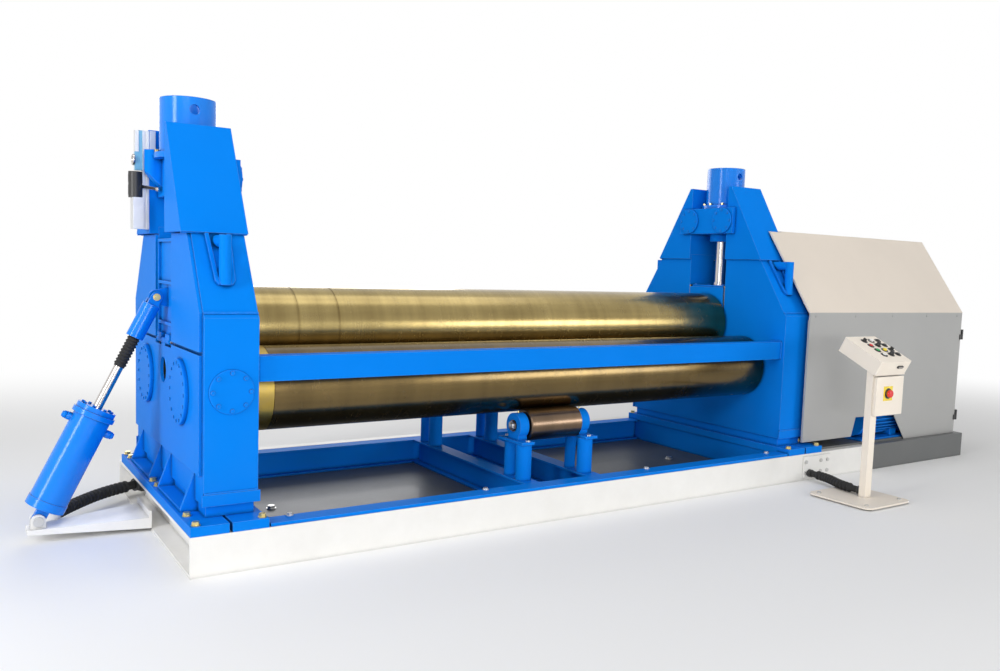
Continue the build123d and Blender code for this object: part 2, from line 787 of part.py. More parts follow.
# Bearings of the lower rolls and slide liners of the slots
with BuildPart() as bush_liners:
    for side in (-1, 1):
        bush_x = (side * half_gap, side * body_out)
        for face in (-1, 1):
            span_box(bush_x, (face * slot_half, face * (slot_half - liner_thick)),
                     (slot_bottom_z, block_top_z + 10))
        for y in (-lower_roll_y, lower_roll_y):
            rod_x(bush_x, y, lower_roll_z, lower_bush_r)
            rod_x(bush_x, y, lower_roll_z, lower_journal_r + shaft_fit, Mode.SUBTRACT)
save(bush_liners.part, "bush_liners")


def lower_roll(y):
    """Build a lower roll; its left end is stepped for the collar and its right end is the drive shaft."""
    with BuildPart() as roll:
        rod_x((collar_width + collar_groove - roll_half, roll_half), y, lower_roll_z, lower_roll_r)
        rod_x((-roll_half, 0), y, lower_roll_z, collar_core_r)
        rod_x((2 - skin_out + skin_thick, body_out - 2), y, lower_roll_z, lower_journal_r)
        rod_x((0, shaft_end_x), y, lower_roll_z, drive_shaft_r)
    return roll.part


def roll_collar(y):
    """Build the collar ring on the left end of a lower roll."""
    with BuildPart() as collar:
        collar_x = (-roll_half, collar_width - roll_half)
        rod_x(collar_x, y, lower_roll_z, lower_roll_r)
        rod_x(collar_x, y, lower_roll_z, collar_core_r, Mode.SUBTRACT)
    return collar.part


save(lower_roll(-lower_roll_y), "lower_roll_front")
save(lower_roll(lower_roll_y), "lower_roll_rear")
save(roll_collar(-lower_roll_y), "collar_front")
save(roll_collar(lower_roll_y), "collar_rear")

# Top roll and its sliding bearing blocks
with BuildPart() as top_roll:
    rod_x((-roll_half, roll_half), 0, top_roll_z, top_roll_r)
    rod_x((block_in - block_end, block_end - block_in), 0, top_roll_z, top_journal_r)
    for offset_x in groove_offsets:
        with BuildSketch(Plane.YZ.offset(offset_x - roll_half)) as groove:
            with Locations((0, top_roll_z)):
                Circle(top_roll_r + 1)
                Circle(top_roll_r - groove_deep, mode=Mode.SUBTRACT)
        extrude(groove.sketch, amount=groove_width, mode=Mode.SUBTRACT)
save(top_roll.part, "top_roll")

block_half = slot_half - liner_thick - slide_fit
rod_foot_z = block_top_z + block_cap
with BuildPart() as bearing_blocks:
    for side in (-1, 1):
        block_x = (side * (half_gap - block_in), side * block_end)
        span_box(block_x, (-block_half, block_half), (block_low_z, block_top_z))
        rod_x(block_x, 0, top_roll_z, top_bush_r + shaft_fit, Mode.SUBTRACT)
        cap_x = (block_x[0] + side * block_cap, block_x[1] - side * block_cap)
        cap_half = block_half - block_cap
        span_box(cap_x, (-cap_half, cap_half), (block_top_z, rod_foot_z))
        cap_spots = [(cap_x[i] + side * shift, y)
                     for i, shift in ((0, 18), (1, -18))
                     for y in (18 - cap_half, cap_half - 18)]
        hex_heads(Plane.XY.offset(rod_foot_z), cap_spots, base_bolt_r, small_bolt_h)
save(bearing_blocks.part, "bearing_blocks")

with BuildPart() as top_bushes:
    for side in (-1, 1):
        block_x = (side * (half_gap - block_in), side * block_end)
        rod_x(block_x, 0, top_roll_z, top_bush_r)
        rod_x(block_x, 0, top_roll_z, top_journal_r + shaft_fit, Mode.SUBTRACT)
save(top_bushes.part, "top_bushes")

with BuildPart() as lift_rods:
    for side in (-1, 1):
        rod_z(side * rod_x_mid, 0, (rod_foot_z, rod_top_z), rod_r)
        rod_z(side * rod_x_mid, 0, (rod_foot_z, rod_foot_z + rod_flange_h), rod_flange_r)
save(lift_rods.part, "lift_rods")

# Stands and rollers that back up the lower rolls
with BuildPart() as stands:
    for y in (-stand_y, stand_y):
        for side in (-1, 1):
            stand_post_z = (base_height, post_top_z)
            rod_z(side * cross_beam_x, y - post_spread, stand_post_z, thick_post_r)
            rod_z(side * cross_beam_x, y + post_spread, stand_post_z, thin_post_r)
            stand_x = (side * (cheek_x[0] - 4), side * (cheek_x[1] + 18))
            span_box(stand_x, (y - stand_half, y + stand_half), (post_top_z, plate_top))
            limits = (side * cheek_x[0], side * cheek_x[1])
            span_box(limits, (y - cheek_neck, y + cheek_neck), (plate_top, roller_z))
            rod_x(limits, y, roller_z, cheek_r)
            rod_x(limits, y, roller_z, roller_pin_r + shaft_fit, Mode.SUBTRACT)
save(stands.part, "stands")


def support_roller(y):
    """Build one support roller with its two pin ends."""
    with BuildPart() as roller:
        rod_x((-roller_half, roller_half), y, roller_z, roller_r)
        pin_end = cheek_x[1] + 6
        rod_x((-pin_end, pin_end), y, roller_z, roller_pin_r)
        rims = roller.edges().filter_by(GeomType.CIRCLE).filter_by(lambda e: e.radius > roller_pin_r + 1)
        chamfer(rims, 6)
    return roller.part


save(support_roller(-stand_y), "support_roller_front")
save(support_roller(stand_y), "support_roller_rear")

# Drop end gate with ribs, knuckles and the cylinder lug
gate_x = (-half_gap - gate_in - gate_thick, -half_gap - gate_in)
gate_rib = 13.0
with BuildPart() as gate:
    span_box(gate_x, (-gate_half, gate_half), (gate_low_z, gate_top_z))
    for y in (-1, 1):
        knuckle_y = (y * (knuckle_split + knuckle_gap), y * knuckle_end)
        rod_y(gate_pivot[0], knuckle_y, gate_pivot[1], knuckle_r)
        web_x = (gate_pivot[0] - 10, gate_x[1] - 19)
        span_box(web_x, knuckle_y, (gate_pivot[1], gate_low_z + 18))
        span_box((gate_x[0] - gate_rib, gate_x[0]), (y * gate_half, y * (gate_half - 16)),
                 (gate_low_z + 18, gate_top_z))
    for rib_z in (gate_low_z + 58, lug_pin[1] + 60, gate_top_z - 14):
        span_box((gate_x[0] - gate_rib, gate_x[0]), (-gate_half, gate_half), (rib_z, rib_z + 14))
    lug = [
        (gate_x[0], lug_pin[1] - 46),
        (lug_pin[0], lug_pin[1] - lug_r),
        (lug_pin[0], lug_pin[1] + lug_r),
        (gate_x[0], lug_pin[1] + 46),
    ]
    prism_y(lug, (-lug_half, lug_half))
    rod_y(lug_pin[0], (-lug_half, lug_half), lug_pin[1], lug_r)
    rod_y(lug_pin[0], (-lug_half, lug_half), lug_pin[1], lug_hole_r, Mode.SUBTRACT)
    rod_y(gate_pivot[0], (-slot_half, slot_half), gate_pivot[1], hinge_pin_r + shaft_fit, Mode.SUBTRACT)
save(gate.part, "gate")

# Tilt cylinder, modelled along its own axis from the base pivot to the lug
tilt_length = hypot(lug_pin[0] - tilt_pivot[0], lug_pin[1] - tilt_pivot[1])
tilt_plane = Plane(
    origin=(tilt_pivot[0], 0, tilt_pivot[1]),
    x_dir=(0, 1, 0),
    z_dir=(lug_pin[0] - tilt_pivot[0], 0, lug_pin[1] - tilt_pivot[1]),
)
eye_r = 26.0
with BuildPart(tilt_plane) as tilt_barrel:
    span_box((-eye_half, eye_half), (-eye_r, eye_r), (0, barrel_low + 4))
    rod_x((-eye_half, eye_half), 0, 0, eye_r)
    rod_z(0, 0, (barrel_low, barrel_top), barrel_r)
    rod_z(0, 0, (barrel_low, barrel_low + band_height), barrel_r + barrel_band)
    rod_z(0, 0, (barrel_top - 10, barrel_top + 12), barrel_r + 11)
    rod_z(0, 0, (barrel_top + 12, gland_top), barrel_r + 4)
    for face, level in zip((-1, 1), port_levels):
        rod_y(0, (face * (barrel_r - 6), face * (barrel_r + port_proud)), level, port_r)
    rod_z(0, 0, (barrel_low + 20, barrel_top - 4), barrel_bore_r, Mode.SUBTRACT)
    rod_z(0, 0, (barrel_top - 10, gland_top), tilt_rod_r + shaft_fit, Mode.SUBTRACT)
    rod_x((-eye_half, eye_half), 0, 0, tilt_pin_r + shaft_fit, Mode.SUBTRACT)
save(tilt_barrel.part, "tilt_barrel")

with BuildPart(tilt_plane) as tilt_rod:
    rod_z(0, 0, (barrel_low + 165, sleeve_low), tilt_rod_r)
save(tilt_rod.part, "tilt_rod")

ear_in = lug_half + ear_gap
ear_r = 25.0
with BuildPart(tilt_plane) as rod_end:
    rod_z(0, 0, (sleeve_low, sleeve_top), sleeve_r)
    for side in (-1, 1):
        ear_x = (side * ear_in, side * (ear_in + ear_thick))
        span_box(ear_x, (-ear_r, ear_r), (sleeve_top - 6, tilt_length))
        rod_x(ear_x, 0, tilt_length, ear_r)
    pin_end = ear_in + ear_thick
    rod_x((-pin_end, pin_end), 0, tilt_length, fork_pin_r)
save(rod_end.part, "rod_end")

with BuildPart(tilt_plane) as fork_bolts:
    for side in (-1, 1):
        washer_end = pin_end + fork_washer
        rod_x((side * pin_end, side * washer_end), 0, tilt_length, fork_washer_r)
        rod_x((side * washer_end, side * (washer_end + fork_head)), 0, tilt_length, fork_pin_r)
save(fork_bolts.part, "fork_bolts")

boot_rib = 4.0
boot_r = 23.0
boot_count = 10
with BuildPart(tilt_plane) as rod_boot:
    rod_z(0, 0, (boot_low, sleeve_low), boot_r)
    boot_pitch = (sleeve_low - boot_low) / boot_count
    for i in range(boot_count):
        ring_z = boot_low + (i + 0.25) * boot_pitch
        rod_z(0, 0, (ring_z, ring_z + boot_pitch / 2), boot_r + boot_rib)
    rod_z(0, 0, (boot_low, sleeve_low), tilt_rod_r, Mode.SUBTRACT)
save(rod_boot.part, "rod_boot")

# White outrigger that carries the base pivot of the tilt cylinder
arm_root_x = base_left_x - arm_end_plate
bracket_half = 30.0
arm_outline = [
    (arm_tip_x, arm_tip_y[0]),
    (arm_tip_x, arm_tip_y[1]),
    (arm_root_x, arm_root_y[1]),
    (arm_root_x, arm_root_y[0]),
]
arm_side = [
    (arm_tip_x, arm_tip_low),
    (arm_tip_x, arm_top_z),
    (arm_root_x, arm_top_z),
    (arm_root_x, arm_root_low),
]
port_block = (-fitting_len - 24, -fitting_len, 34.0)
with BuildPart() as outrigger:
    prism_z(arm_outline, (arm_root_low, arm_top_z))
    prism_y(arm_side, arm_root_y, Mode.INTERSECT)
    span_box((arm_root_x, base_left_x), arm_root_y, (arm_root_low, arm_top_z + 30))
    for side in (-1, 1):
        bracket_y = (side * (eye_half + ear_gap), side * (eye_half + ear_gap + ear_thick))
        bracket_x = (tilt_pivot[0] - bracket_half, tilt_pivot[0] + bracket_half)
        span_box(bracket_x, bracket_y, (arm_tip_low + 4, tilt_pivot[1]))
        rod_y(tilt_pivot[0], bracket_y, tilt_pivot[1], bracket_half)
    rod_y(tilt_pivot[0], (-60, 60), tilt_pivot[1], tilt_pin_r + shaft_fit, Mode.SUBTRACT)
    prism_z(face_block(tilt_hose_route[0], tilt_hose_route[1], port_block), (arm_tip_low, tilt_hose_z + 28))
save(outrigger.part, "outrigger")

with BuildPart() as pivot_pins:
    rod_y(gate_pivot[0], (-knuckle_end - 4, knuckle_end + 4), gate_pivot[1], hinge_pin_r)
    rod_y(tilt_pivot[0], (-36, 36), tilt_pivot[1], tilt_pin_r)
    for side in (-1, 1):
        head_y = eye_half + ear_gap + ear_thick
        rod_y(tilt_pivot[0], (side * head_y, side * (head_y + tilt_pin_head)), tilt_pivot[1], tilt_pin_r + 6)
save(pivot_pins.part, "pivot_pins")


def route_wire(points, z):
    """Join route points with straight runs and tangent arcs; also return the arc radii."""
    radii = []
    for before, corner, after in zip(points, points[1:], points[2:]):
        run_a = Vector(*corner) - Vector(*before)
        run_b = Vector(*after) - Vector(*corner)
        turn = run_a.get_angle(run_b)
        shorter = min(run_a.length, run_b.length)
        radii.append(0.45 * shorter / tan(radians(turn / 2)))
    with BuildLine() as route:
        FilletPolyline(*[(x, y, z) for x, y in points], radius=radii)
    return route.wires()[0], radii


def corrugated_hose(points, z, radius, label):
    """Build a ribbed hose with plain ends, as a ruled loft through rings with a bore along the route."""
    route, radii = route_wire(points, z)
    low_r = radius - rib_deep
    plain = 2 * radius
    count = int((route.length - 2 * plain) / rib_pitch)
    start = (route.length - count * rib_pitch) / 2
    stations = [(0.0, low_r)]
    for i in range(count):
        at = start + i * rib_pitch
        stations.append((at, low_r))
        stations.append((at + rib_pitch * 0.2, radius))
        stations.append((at + rib_pitch * 0.6, radius))
        stations.append((at + rib_pitch * 0.8, low_r))
    stations.append((route.length, low_r))
    rings = []
    bore_rings = []
    for at, ring_r in stations:
        share = at / route.length
        plane = Plane(origin=route @ share, x_dir=(0, 0, 1), z_dir=route % share)
        with BuildSketch(plane) as ring:
            Circle(ring_r)
        rings.append(ring.sketch)
        with BuildSketch(plane) as bore_ring:
            Circle(low_r - hose_wall)
        bore_rings.append(bore_ring.sketch)
    with BuildPart() as hose:
        loft(rings, ruled=True)
        loft(bore_rings, ruled=True, mode=Mode.SUBTRACT)
    section = 3.1416 * (low_r**2 - (low_r - hose_wall) ** 2)
    words = ", ".join(f"{value:.0f}" for value in radii)
    print(f"{label}: length {route.length:.0f}, bend radii {words}, ribs {count}, "
          f"volume {hose.part.volume:.0f}, plain tube {section * route.length:.0f}")
    return hose.part


save(corrugated_hose(tilt_hose_route, tilt_hose_z, tilt_hose_r, "tilt_hose"), "tilt_hose")
save(corrugated_hose(pedestal_hose_route, pedestal_hose_z, pedestal_hose_r, "pedestal_hose"), "pedestal_hose")

# Position sensor on the outer face of the left head
sensor_y = (slot_half + 2, slot_half + 38)
sensor_mid = sensor_y[0] + 5
rail_out = -head_out - 28
sensor_low_z = 1372.0
box_top_z = 1515.0
plug_top_z = 1633.0
bracket_z = (1640.0, 1725.0)
rail_top_z = head_top_z - 5
strip_in = 16.0
box_deep = 46.0
plug_r = 30.0
with BuildPart() as sensor_rail:
    span_box((rail_out, -head_out), sensor_y, (sensor_low_z, rail_top_z))
    for groove_y in (sensor_y[0], sensor_y[1] - 7):
        span_box((rail_out + 9, rail_out + 19), (groove_y, groove_y + 7), (sensor_low_z, rail_top_z), Mode.SUBTRACT)
    span_box((rail_out - box_deep, rail_out), (sensor_y[0] - 30, sensor_y[1] + 4), (sensor_low_z, box_top_z))
    span_box((rail_out - 2 * strip_in, rail_out - strip_in), (sensor_mid - 3, sensor_y[1] - 4),
             (bracket_z[1], rail_top_z))
    span_box((2 - head_out, 26 - head_out), (slot_half - 13, slot_half), (yoke_top_z + 10, rail_top_z))
save(sensor_rail.part, "sensor_rail")

with BuildPart() as sensor_bracket:
    span_box((rail_out - 2 * strip_in, rail_out), (sensor_y[0] + 4, sensor_y[1] - 4), bracket_z)
    span_box((rail_out - strip_in, rail_out), (sensor_y[0] + 4, sensor_y[1] - 4), (bracket_z[1], rail_top_z))
save(sensor_bracket.part, "sensor_bracket")

# Black fittings at the hose ends and the plug on the sensor box
with BuildPart() as black_fittings:
    fitting_r = tilt_hose_r + fitting_extra
    for ends in (tilt_hose_route[:2], tilt_hose_route[:-3:-1]):
        corner, toward = [Vector(*point, tilt_hose_z) for point in ends]
        outer = corner - (toward - corner).normalized() * fitting_len
        rod_between(tuple(outer), tuple(corner), fitting_r)
    elbow = face_block(tilt_hose_route[-1], tilt_hose_route[-2], (-fitting_len - 8, -fitting_len, 33.0))
    wall_y = (elbow[0][1], elbow[3][1])
    elbow_z = (tilt_hose_z - 33, tilt_hose_z + 33)
    prism_z([elbow[1], elbow[2], (end_web_x, min(wall_y)), (end_web_x, max(wall_y))], elbow_z)
    start_x, start_y = pedestal_hose_route[0]
    rod_y(start_x, (start_y, splice_face), pedestal_hose_z, pedestal_hose_r)
    end_x, end_y_mid = pedestal_hose_route[-1]
    rod_y(end_x, (end_y_mid, post_y[1]), pedestal_hose_z, pedestal_hose_r)
    rod_z(rail_out - plug_r - 1, sensor_mid, (box_top_z, plug_top_z), plug_r)
save(black_fittings.part, "black_fittings")

# Gearboxes on the lower roll shafts and the pump motor in the housing
with BuildPart() as gearboxes:
    for y in (-lower_roll_y, lower_roll_y):
        rod_x((cover_out, cover_out + 30), y, lower_roll_z, gear_flange_r)
        rod_x((cover_out + 30, gear_body_end_x), y, lower_roll_z, gear_body_r)
        rod_x((gear_body_end_x, gear_motor_end_x), y, lower_roll_z, gear_motor_r)
        rod_x((cover_out, shaft_end_x + 10), y, lower_roll_z, drive_shaft_r + shaft_fit, Mode.SUBTRACT)
save(gearboxes.part, "gearboxes")

motor_mid = (motor_x[0] + motor_x[1]) / 2
fin_x = (motor_x[0] + 60, motor_x[1] - 110)
with BuildPart() as pump_motor:
    rod_x((motor_x[0] + 40, motor_x[1] - 90), motor_y, motor_z, motor_r)
    rod_x((motor_x[0], motor_x[0] + 46), motor_y, motor_z, motor_r + motor_fin)
    rod_x((motor_x[1] - 96, motor_x[1]), motor_y, motor_z, motor_r + motor_fin)
    with BuildSketch(Plane.YZ.offset(fin_x[0])) as fins:
        with Locations((motor_y, motor_z)):
            with PolarLocations(motor_r + motor_fin / 2 - 2, 28):
                Rectangle(motor_fin, 6)
    extrude(fins.sketch, amount=fin_x[1] - fin_x[0])
    span_box((motor_x[0] - 40, motor_x[1] + 40), (motor_y - 130, motor_y + 130), (deck_top, deck_top + motor_plate))
    for motor_foot in (motor_x[0] + 110, motor_x[1] - 160):
        span_box((motor_foot - 35, motor_foot + 35), (motor_y - 95, motor_y + 95), (deck_top, motor_z - 80))
    span_box((motor_mid - 75, motor_mid + 45), (motor_y - 60, motor_y + 60), (motor_z + 90, motor_z + 165))
save(pump_motor.part, "pump_motor")

# Sheet housing of the drive end
panel_end = house_right_x - sheet
lap_z = house_eave_z - 46
corner_width = 44.0
with BuildPart() as housing_front:
    front_y = (-house_half, -house_half + sheet)
    span_box((house_left_x, base_split_x), front_y, (house_gap_z, house_eave_z))
    span_box((base_split_x, panel_end), front_y, (base_height, house_eave_z))
    prism_y(cutout, (-house_half - 1, -house_half + sheet + 1), Mode.SUBTRACT)
    panel_rear_x = (house_rear_left_x, panel_end)
    span_box(panel_rear_x, (house_half - sheet, house_half), (base_height, house_eave_z))
    span_box((house_left_x, house_left_x + sheet), (-house_half, -house_half + house_return),
             (house_gap_z, lap_z))
    for face in (-1, 1):
        corner = face * (house_half - sheet)
        corner_z = (base_height, lap_z - sheet)
        span_box((panel_end - corner_width, panel_end), (corner, corner - face * sheet), corner_z)
        span_box((panel_end - sheet, panel_end), (corner, corner - face * corner_width), corner_z)
save(housing_front.part, "housing_front")

inner_half = house_half - sheet
roof_out = [
    (-inner_half, lap_z),
    (-inner_half, house_eave_z),
    (-house_half, house_eave_z),
    (-house_top_half, house_top_z),
    (house_top_half, house_top_z),
    (house_half, house_eave_z),
    (inner_half, house_eave_z),
    (inner_half, lap_z),
]
roof_in = [
    (inner_half - sheet, lap_z),
    (inner_half - sheet, house_eave_z - 1),
    (house_top_half - 2, house_top_z - sheet),
    (2 - house_top_half, house_top_z - sheet),
    (sheet - inner_half, house_eave_z - 1),
    (sheet - inner_half, lap_z),
]
gable = [
    (-house_half, house_eave_z),
    (-house_top_half, house_top_z),
    (house_top_half, house_top_z),
    (house_half, house_eave_z),
]
with BuildPart() as housing_top:
    prism_x(roof_out + roof_in, (house_left_x, panel_end))
    prism_x(gable, (panel_end, house_right_x))
    open_x = (house_left_x, house_rear_left_x)
    span_box(open_x, (-house_top_half - sheet, house_half), (lap_z, house_top_z), Mode.SUBTRACT)
    roof_return = [
        (-house_half, house_eave_z),
        (-house_top_half - sheet, house_top_z - sheet),
        (house_return - house_top_half - sheet, house_top_z - sheet),
        (house_return - house_half, house_eave_z),
    ]
    prism_x(roof_return, (house_left_x, house_left_x + sheet))
save(housing_top.part, "housing_top")

hinge_axis = (house_right_x + hinge_out, -house_half - hinge_proud)
door_x = (panel_end + 2, house_right_x + 2)
door_edge = house_half - door_side_gap
pull_y = (door_edge - 70, door_edge - 46)
pull_z = (560.0, 680.0)
pull_out = 22.0
pull_bar = 8.0
pull_foot = 14.0
with BuildPart() as housing_door:
    span_box(door_x, (-door_edge, door_edge), (door_low_z, door_top_z))
    span_box((door_x[1], door_x[1] + pull_out), pull_y, pull_z)
    span_box((door_x[1], door_x[1] + pull_out - pull_bar), pull_y,
             (pull_z[0] + pull_foot, pull_z[1] - pull_foot), Mode.SUBTRACT)
save(housing_door.part, "housing_door")

leaf_thick = 5.0
pintle_r = 3.0
with BuildPart() as hinge_leaves:
    for level in hinge_levels:
        leaf_z = (level - hinge_half, level)
        span_box((panel_end - 16, hinge_axis[0]), (-house_half - leaf_thick, -house_half), leaf_z)
        rod_z(hinge_axis[0], hinge_axis[1], leaf_z, hinge_r)
        rod_z(hinge_axis[0], hinge_axis[1], (level, level + hinge_half), pintle_r)
save(hinge_leaves.part, "hinge_leaves")

with BuildPart() as door_hinges:
    for level in hinge_levels:
        leaf_z = (level + slide_fit, level + hinge_half)
        span_box((door_x[1], door_x[1] + leaf_thick), (hinge_axis[1], -door_edge + 50), leaf_z)
        rod_z(hinge_axis[0], hinge_axis[1], leaf_z, hinge_r)
        rod_z(hinge_axis[0], hinge_axis[1], leaf_z, pintle_r + shaft_fit, Mode.SUBTRACT)
save(door_hinges.part, "door_hinges")

# Control pedestal
plate_mid = ((plate_x[0] + plate_x[1]) / 2, (plate_y[0] + plate_y[1]) / 2)
console_plane = Plane(
    origin=(console_x, *console_centre),
    x_dir=(1, 0, 0),
    z_dir=(0, -sin(radians(console_tilt)), cos(radians(console_tilt))),
)
with BuildPart() as pedestal:
    with BuildSketch(Plane.XY.offset(plate_z[0])) as plate:
        with Locations(plate_mid):
            RectangleRounded(plate_x[1] - plate_x[0], plate_y[1] - plate_y[0], plate_corner_r)
    extrude(amount=plate_z[1] - plate_z[0])
    washers(Plane.XY, plate_spots, pad_r, plate_z[0])
    span_box(post_x, post_y, (plate_z[1], console_centre[1]))
    split(bisect_by=console_plane.offset(-console_thick), keep=Keep.BOTTOM)
save(pedestal.part, "pedestal")

# Two columns of four controls; two of the eight are selector switches
control_spots = [(x, y) for y in control_rows for x in control_columns]
with BuildPart(console_plane) as console:
    span_box((-console_half, console_half), (-console_depth / 2, console_depth / 2), (-console_thick, 0))
    fillet(console.edges().filter_by(lambda e: abs(e.length - console_thick) < 1), 9)
    span_box((console_wall - console_half, console_half - console_wall),
             (console_wall - console_depth / 2, console_depth / 2 - console_wall),
             (console_wall - console_thick, -console_wall), Mode.SUBTRACT)
    with Locations(*[(x, y, 0) for x, y in control_spots]):
        Hole(button_r + button_fit)
    span_box((-console_half, console_half), (-console_depth / 2, console_depth / 2),
             (-console_thick, console_wall - console_thick))
save(console.part, "console")

with BuildPart(console_plane) as bezels:
    for x, y in control_spots:
        rod_z(x, y, (0, bezel_h), bezel_r)
        rod_z(x, y, (0, bezel_h), button_r + button_fit, Mode.SUBTRACT)
    lock_face = Plane(console_plane.location * Location((52, -console_depth / 2, -36), (90, 0, 0)))
    with BuildSketch(lock_face) as lock:
        SlotOverall(54, 16)
    extrude(lock.sketch, amount=6)
save(bezels.part, "bezels")


def push_button(spot):
    """Build one push button cap in its bezel."""
    with BuildPart(console_plane) as cap:
        rod_z(spot[0], spot[1], (-button_deep, bezel_h + 5), button_r)
        chamfer(cap.edges().filter_by(GeomType.CIRCLE).group_by(Axis.Z)[-1], 1.5)
    return cap.part


def selector(spot):
    """Build one selector switch with a raised grip."""
    with BuildPart(console_plane) as knob:
        rod_z(spot[0], spot[1], (-button_deep, bezel_h + 4), button_r)
        span_box((spot[0] - 4, spot[0] + 4), (spot[1] - button_r + 1, spot[1] + button_r - 1),
                 (bezel_h + 3, bezel_h + 15))
    return knob.part


button_number = 0
selector_number = 0
for index, spot in enumerate(control_spots):
    if index in selector_places:
        selector_number += 1
        save(selector(spot), f"selector_{selector_number}")
    else:
        button_number += 1
        save(push_button(spot), f"button_{button_number}")

# Emergency stop box: flat in front of the post and deeper beside it
stop_face = post_y[0] - stop_box_deep
stop_stem = 16.0
collar_h = 3.5
head_start = 10.0
head_end = 24.0
with BuildPart() as stop_box:
    span_box(stop_box_x, (stop_face, post_y[0]), stop_box_z)
    span_box((post_x[1], stop_box_x[1]), (post_y[0], stop_back_y), stop_box_z)
    fillet(stop_box.edges().filter_by(Axis.Y).filter_by(lambda e: abs(e.center().Y - stop_face) < 60), 6)
    rod_y(stop_x, (stop_face, stop_face + stop_stem + 8), stop_z, stop_stem_r + button_fit, Mode.SUBTRACT)
save(stop_box.part, "stop_box")

with BuildPart() as stop_plate:
    stop_plate_x = (stop_x - stop_plate_half, stop_x + stop_plate_half)
    stop_plate_z = (stop_z - stop_plate_half, stop_z + stop_plate_half)
    span_box(stop_plate_x, (stop_face - 2, stop_face), stop_plate_z)
    rod_y(stop_x, (stop_face - collar_h, stop_face), stop_z, stop_stem_r + 7)
    rod_y(stop_x, (stop_face - collar_h, stop_face), stop_z, stop_stem_r + button_fit, Mode.SUBTRACT)
save(stop_plate.part, "stop_plate")

with BuildPart() as stop_button:
    rod_y(stop_x, (stop_face - head_end + 4, stop_face + stop_stem), stop_z, stop_stem_r)
    rod_y(stop_x, (stop_face - head_end, stop_face - head_start), stop_z, stop_r)
    fillet(stop_button.edges().filter_by(GeomType.CIRCLE).sort_by(Axis.Y)[0], 6)
save(stop_button.part, "stop_button")
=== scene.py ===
"""Looks of the plate rolling machine: finishes, hoses, small fittings, light and camera."""

import json
import logging
import math
from bisect import bisect_left
from dataclasses import dataclass, field, replace
from enum import Enum
from typing import Callable, Iterator, Sequence, Union

import bmesh
import bpy
from mathutils import Matrix, Vector


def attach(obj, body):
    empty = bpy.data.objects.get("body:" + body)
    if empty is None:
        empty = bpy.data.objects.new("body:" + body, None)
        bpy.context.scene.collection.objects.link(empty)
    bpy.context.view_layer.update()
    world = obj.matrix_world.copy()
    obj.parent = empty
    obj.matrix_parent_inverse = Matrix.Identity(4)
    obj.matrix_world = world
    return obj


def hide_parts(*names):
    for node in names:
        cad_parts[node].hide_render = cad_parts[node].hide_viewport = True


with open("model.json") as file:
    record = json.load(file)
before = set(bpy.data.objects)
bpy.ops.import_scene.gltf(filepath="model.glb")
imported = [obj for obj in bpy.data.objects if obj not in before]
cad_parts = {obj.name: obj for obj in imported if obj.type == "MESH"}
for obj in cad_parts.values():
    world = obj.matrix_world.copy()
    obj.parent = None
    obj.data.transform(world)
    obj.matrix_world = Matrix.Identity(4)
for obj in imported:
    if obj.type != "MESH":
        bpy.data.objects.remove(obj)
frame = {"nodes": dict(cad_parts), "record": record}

LOG = logging.getLogger("rolling_machine")
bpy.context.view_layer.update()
Number = Union[int, float]
Point = tuple[float, float, float]
Colour = tuple[float, float, float]
Test = Callable[[Vector, Vector], bool]

ORIGIN: Point = (0.0, 0.0, 0.0)
UP: Point = (0.0, 0.0, 1.0)
WHITE = (1.0, 1.0, 1.0, 1.0)
MERGE_DISTANCE = 1e-5
SMOOTH_ANGLE = math.radians(35.0)

# One rib of a corrugated hose: share of the pitch, share of the rib's height.
RIB_PROFILE = (
    (0.0, 0.0), (0.06, 0.45), (0.16, 0.9), (0.28, 1.0),
    (0.44, 1.0), (0.56, 0.9), (0.66, 0.45), (0.72, 0.0),
)


def toned(colour: Colour, gain: float, lift: float = 0.0) -> Colour:
    """A colour scaled and lifted, with no channel over one."""
    return tuple(min(1.0, channel * gain + lift) for channel in colour)


def opaque(value: "Feed") -> "Feed":
    """A plain colour with a full alpha; anything else as it is."""
    return (*value, 1.0) if isinstance(value, tuple) else value


